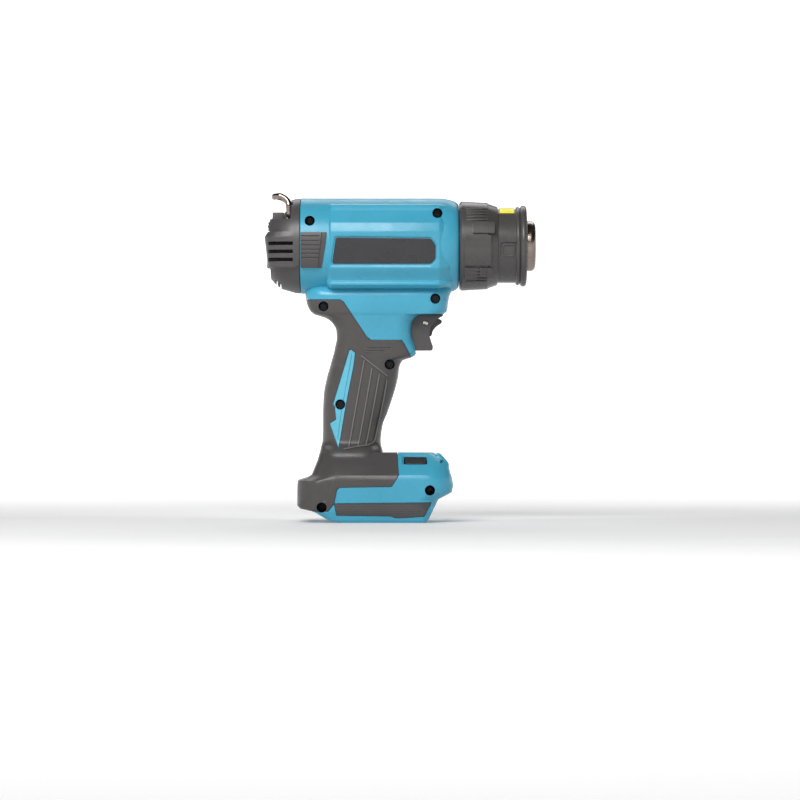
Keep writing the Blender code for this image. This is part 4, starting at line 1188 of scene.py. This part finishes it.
def floor_material():
    """A pale matt surface that glows more towards the wall in front of the camera."""
    paint = Paint("floor")
    tone = paint.mix(paint.noise(90, 4), (0.72, 0.72, 0.72, 1), (0.76, 0.76, 0.76, 1))
    normal = paint.node("ShaderNodeNewGeometry").outputs["Normal"]
    reach = paint.node("ShaderNodeVectorMath", {0: paint.place}, operation="LENGTH").outputs["Value"]
    across = paint.node("ShaderNodeSeparateXYZ", {"Vector": paint.place}).outputs["Y"]
    share = paint.ranged(paint.math("DIVIDE", across, reach), 0.3, 0.9, SIDE_GLOW, 1.0)
    glow = paint.math("MULTIPLY", paint.ranged(reach, 0.35, 1.3, FLOOR_GLOW, WALL_GLOW), share)
    paint.set(Base_Color=tone, Roughness=0.85, Normal=paint.bump(paint.noise(1.5), 0.02, normal))
    paint.set(Emission_Color=(1, 1, 1, 1), Emission_Strength=glow)
    return paint.material


def make_room():
    """A round floor that curves up all round into a low wall."""
    bend = arc((ROOM_R - ROOM_BEND, ROOM_BEND), (ROOM_BEND, ROOM_BEND), -90, 0, 16)
    sides = 96
    bm = bmesh.new()
    rows = []
    for radius, z in [(0.0, 0.0), *bend, (ROOM_R, ROOM_HEIGHT)]:
        angles = [math.tau * i / sides for i in range(sides if radius else 1)]
        rows.append([bm.verts.new((radius * math.cos(a), radius * math.sin(a), z)) for a in angles])
    for low, high in zip(rows, rows[1:]):
        for i in range(sides):
            j = (i + 1) % sides
            inner = (low[0],) if len(low) == 1 else (low[j], low[i])
            bm.faces.new((*inner, high[i], high[j]))
    mesh = bpy.data.meshes.new("floor")
    bm.to_mesh(mesh)
    bm.free()
    mesh.shade_smooth()
    mesh.materials.append(floor_material())
    floor = bpy.data.objects.new("floor", mesh)
    bpy.context.scene.collection.objects.link(floor)


def aim(obj, place, target):
    """Puts a light or the camera in its place, looking at a target."""
    bpy.context.scene.collection.objects.link(obj)
    obj.location = place
    obj.rotation_euler = (Vector(target) - Vector(place)).to_track_quat("-Z", "Y").to_euler()


def area_light(name, place, size, power):
    data = bpy.data.lights.new(name, "AREA")
    data.shape = "RECTANGLE"
    data.size, data.size_y = size
    data.energy = power
    aim(bpy.data.objects.new(name, data), place, LIGHT_TARGET)


def make_light():
    """One large soft light from the front left, a weaker one behind, and a faint white world."""
    for light in LIGHTS:
        area_light(*light)
    world = bpy.data.worlds.new("studio")
    world.use_nodes = True
    background = world.node_tree.nodes["Background"]
    background.inputs["Color"].default_value = (1, 1, 1, 1)
    background.inputs["Strength"].default_value = WORLD_STRENGTH
    bpy.context.scene.world = world
    bpy.context.scene.view_settings.view_transform = "Standard"


def make_camera():
    data = bpy.data.cameras.new("camera")
    data.sensor_width = 36.0
    data.lens = data.sensor_width * CAMERA_DISTANCE / FRAME_WIDTH
    data.clip_end = 20.0
    camera = bpy.data.objects.new("camera", data)
    aim(camera, (CAMERA_X, -CAMERA_DISTANCE, CAMERA_Z), (CAMERA_X, 0, CAMERA_Z))
    bpy.context.scene.camera = camera


def main():
    body = shell_body()
    for side in SIDES:
        make_housing(side, body)
        make_ribs(side)
        make_grip(side)
        make_insert(side)
        make_foot_panel(side)
        make_side_panel(side)
        make_nameplate(side)
    make_tongue()
    make_rear_cover()
    make_hook()
    make_dial()
    make_lock_ring()
    make_nozzle_guard()
    make_heat_label()
    make_nozzle_tube()
    make_trigger()
    make_lever()
    make_button()
    make_screws()
    paint_inside()
    make_room()
    make_light()
    make_camera()


main()
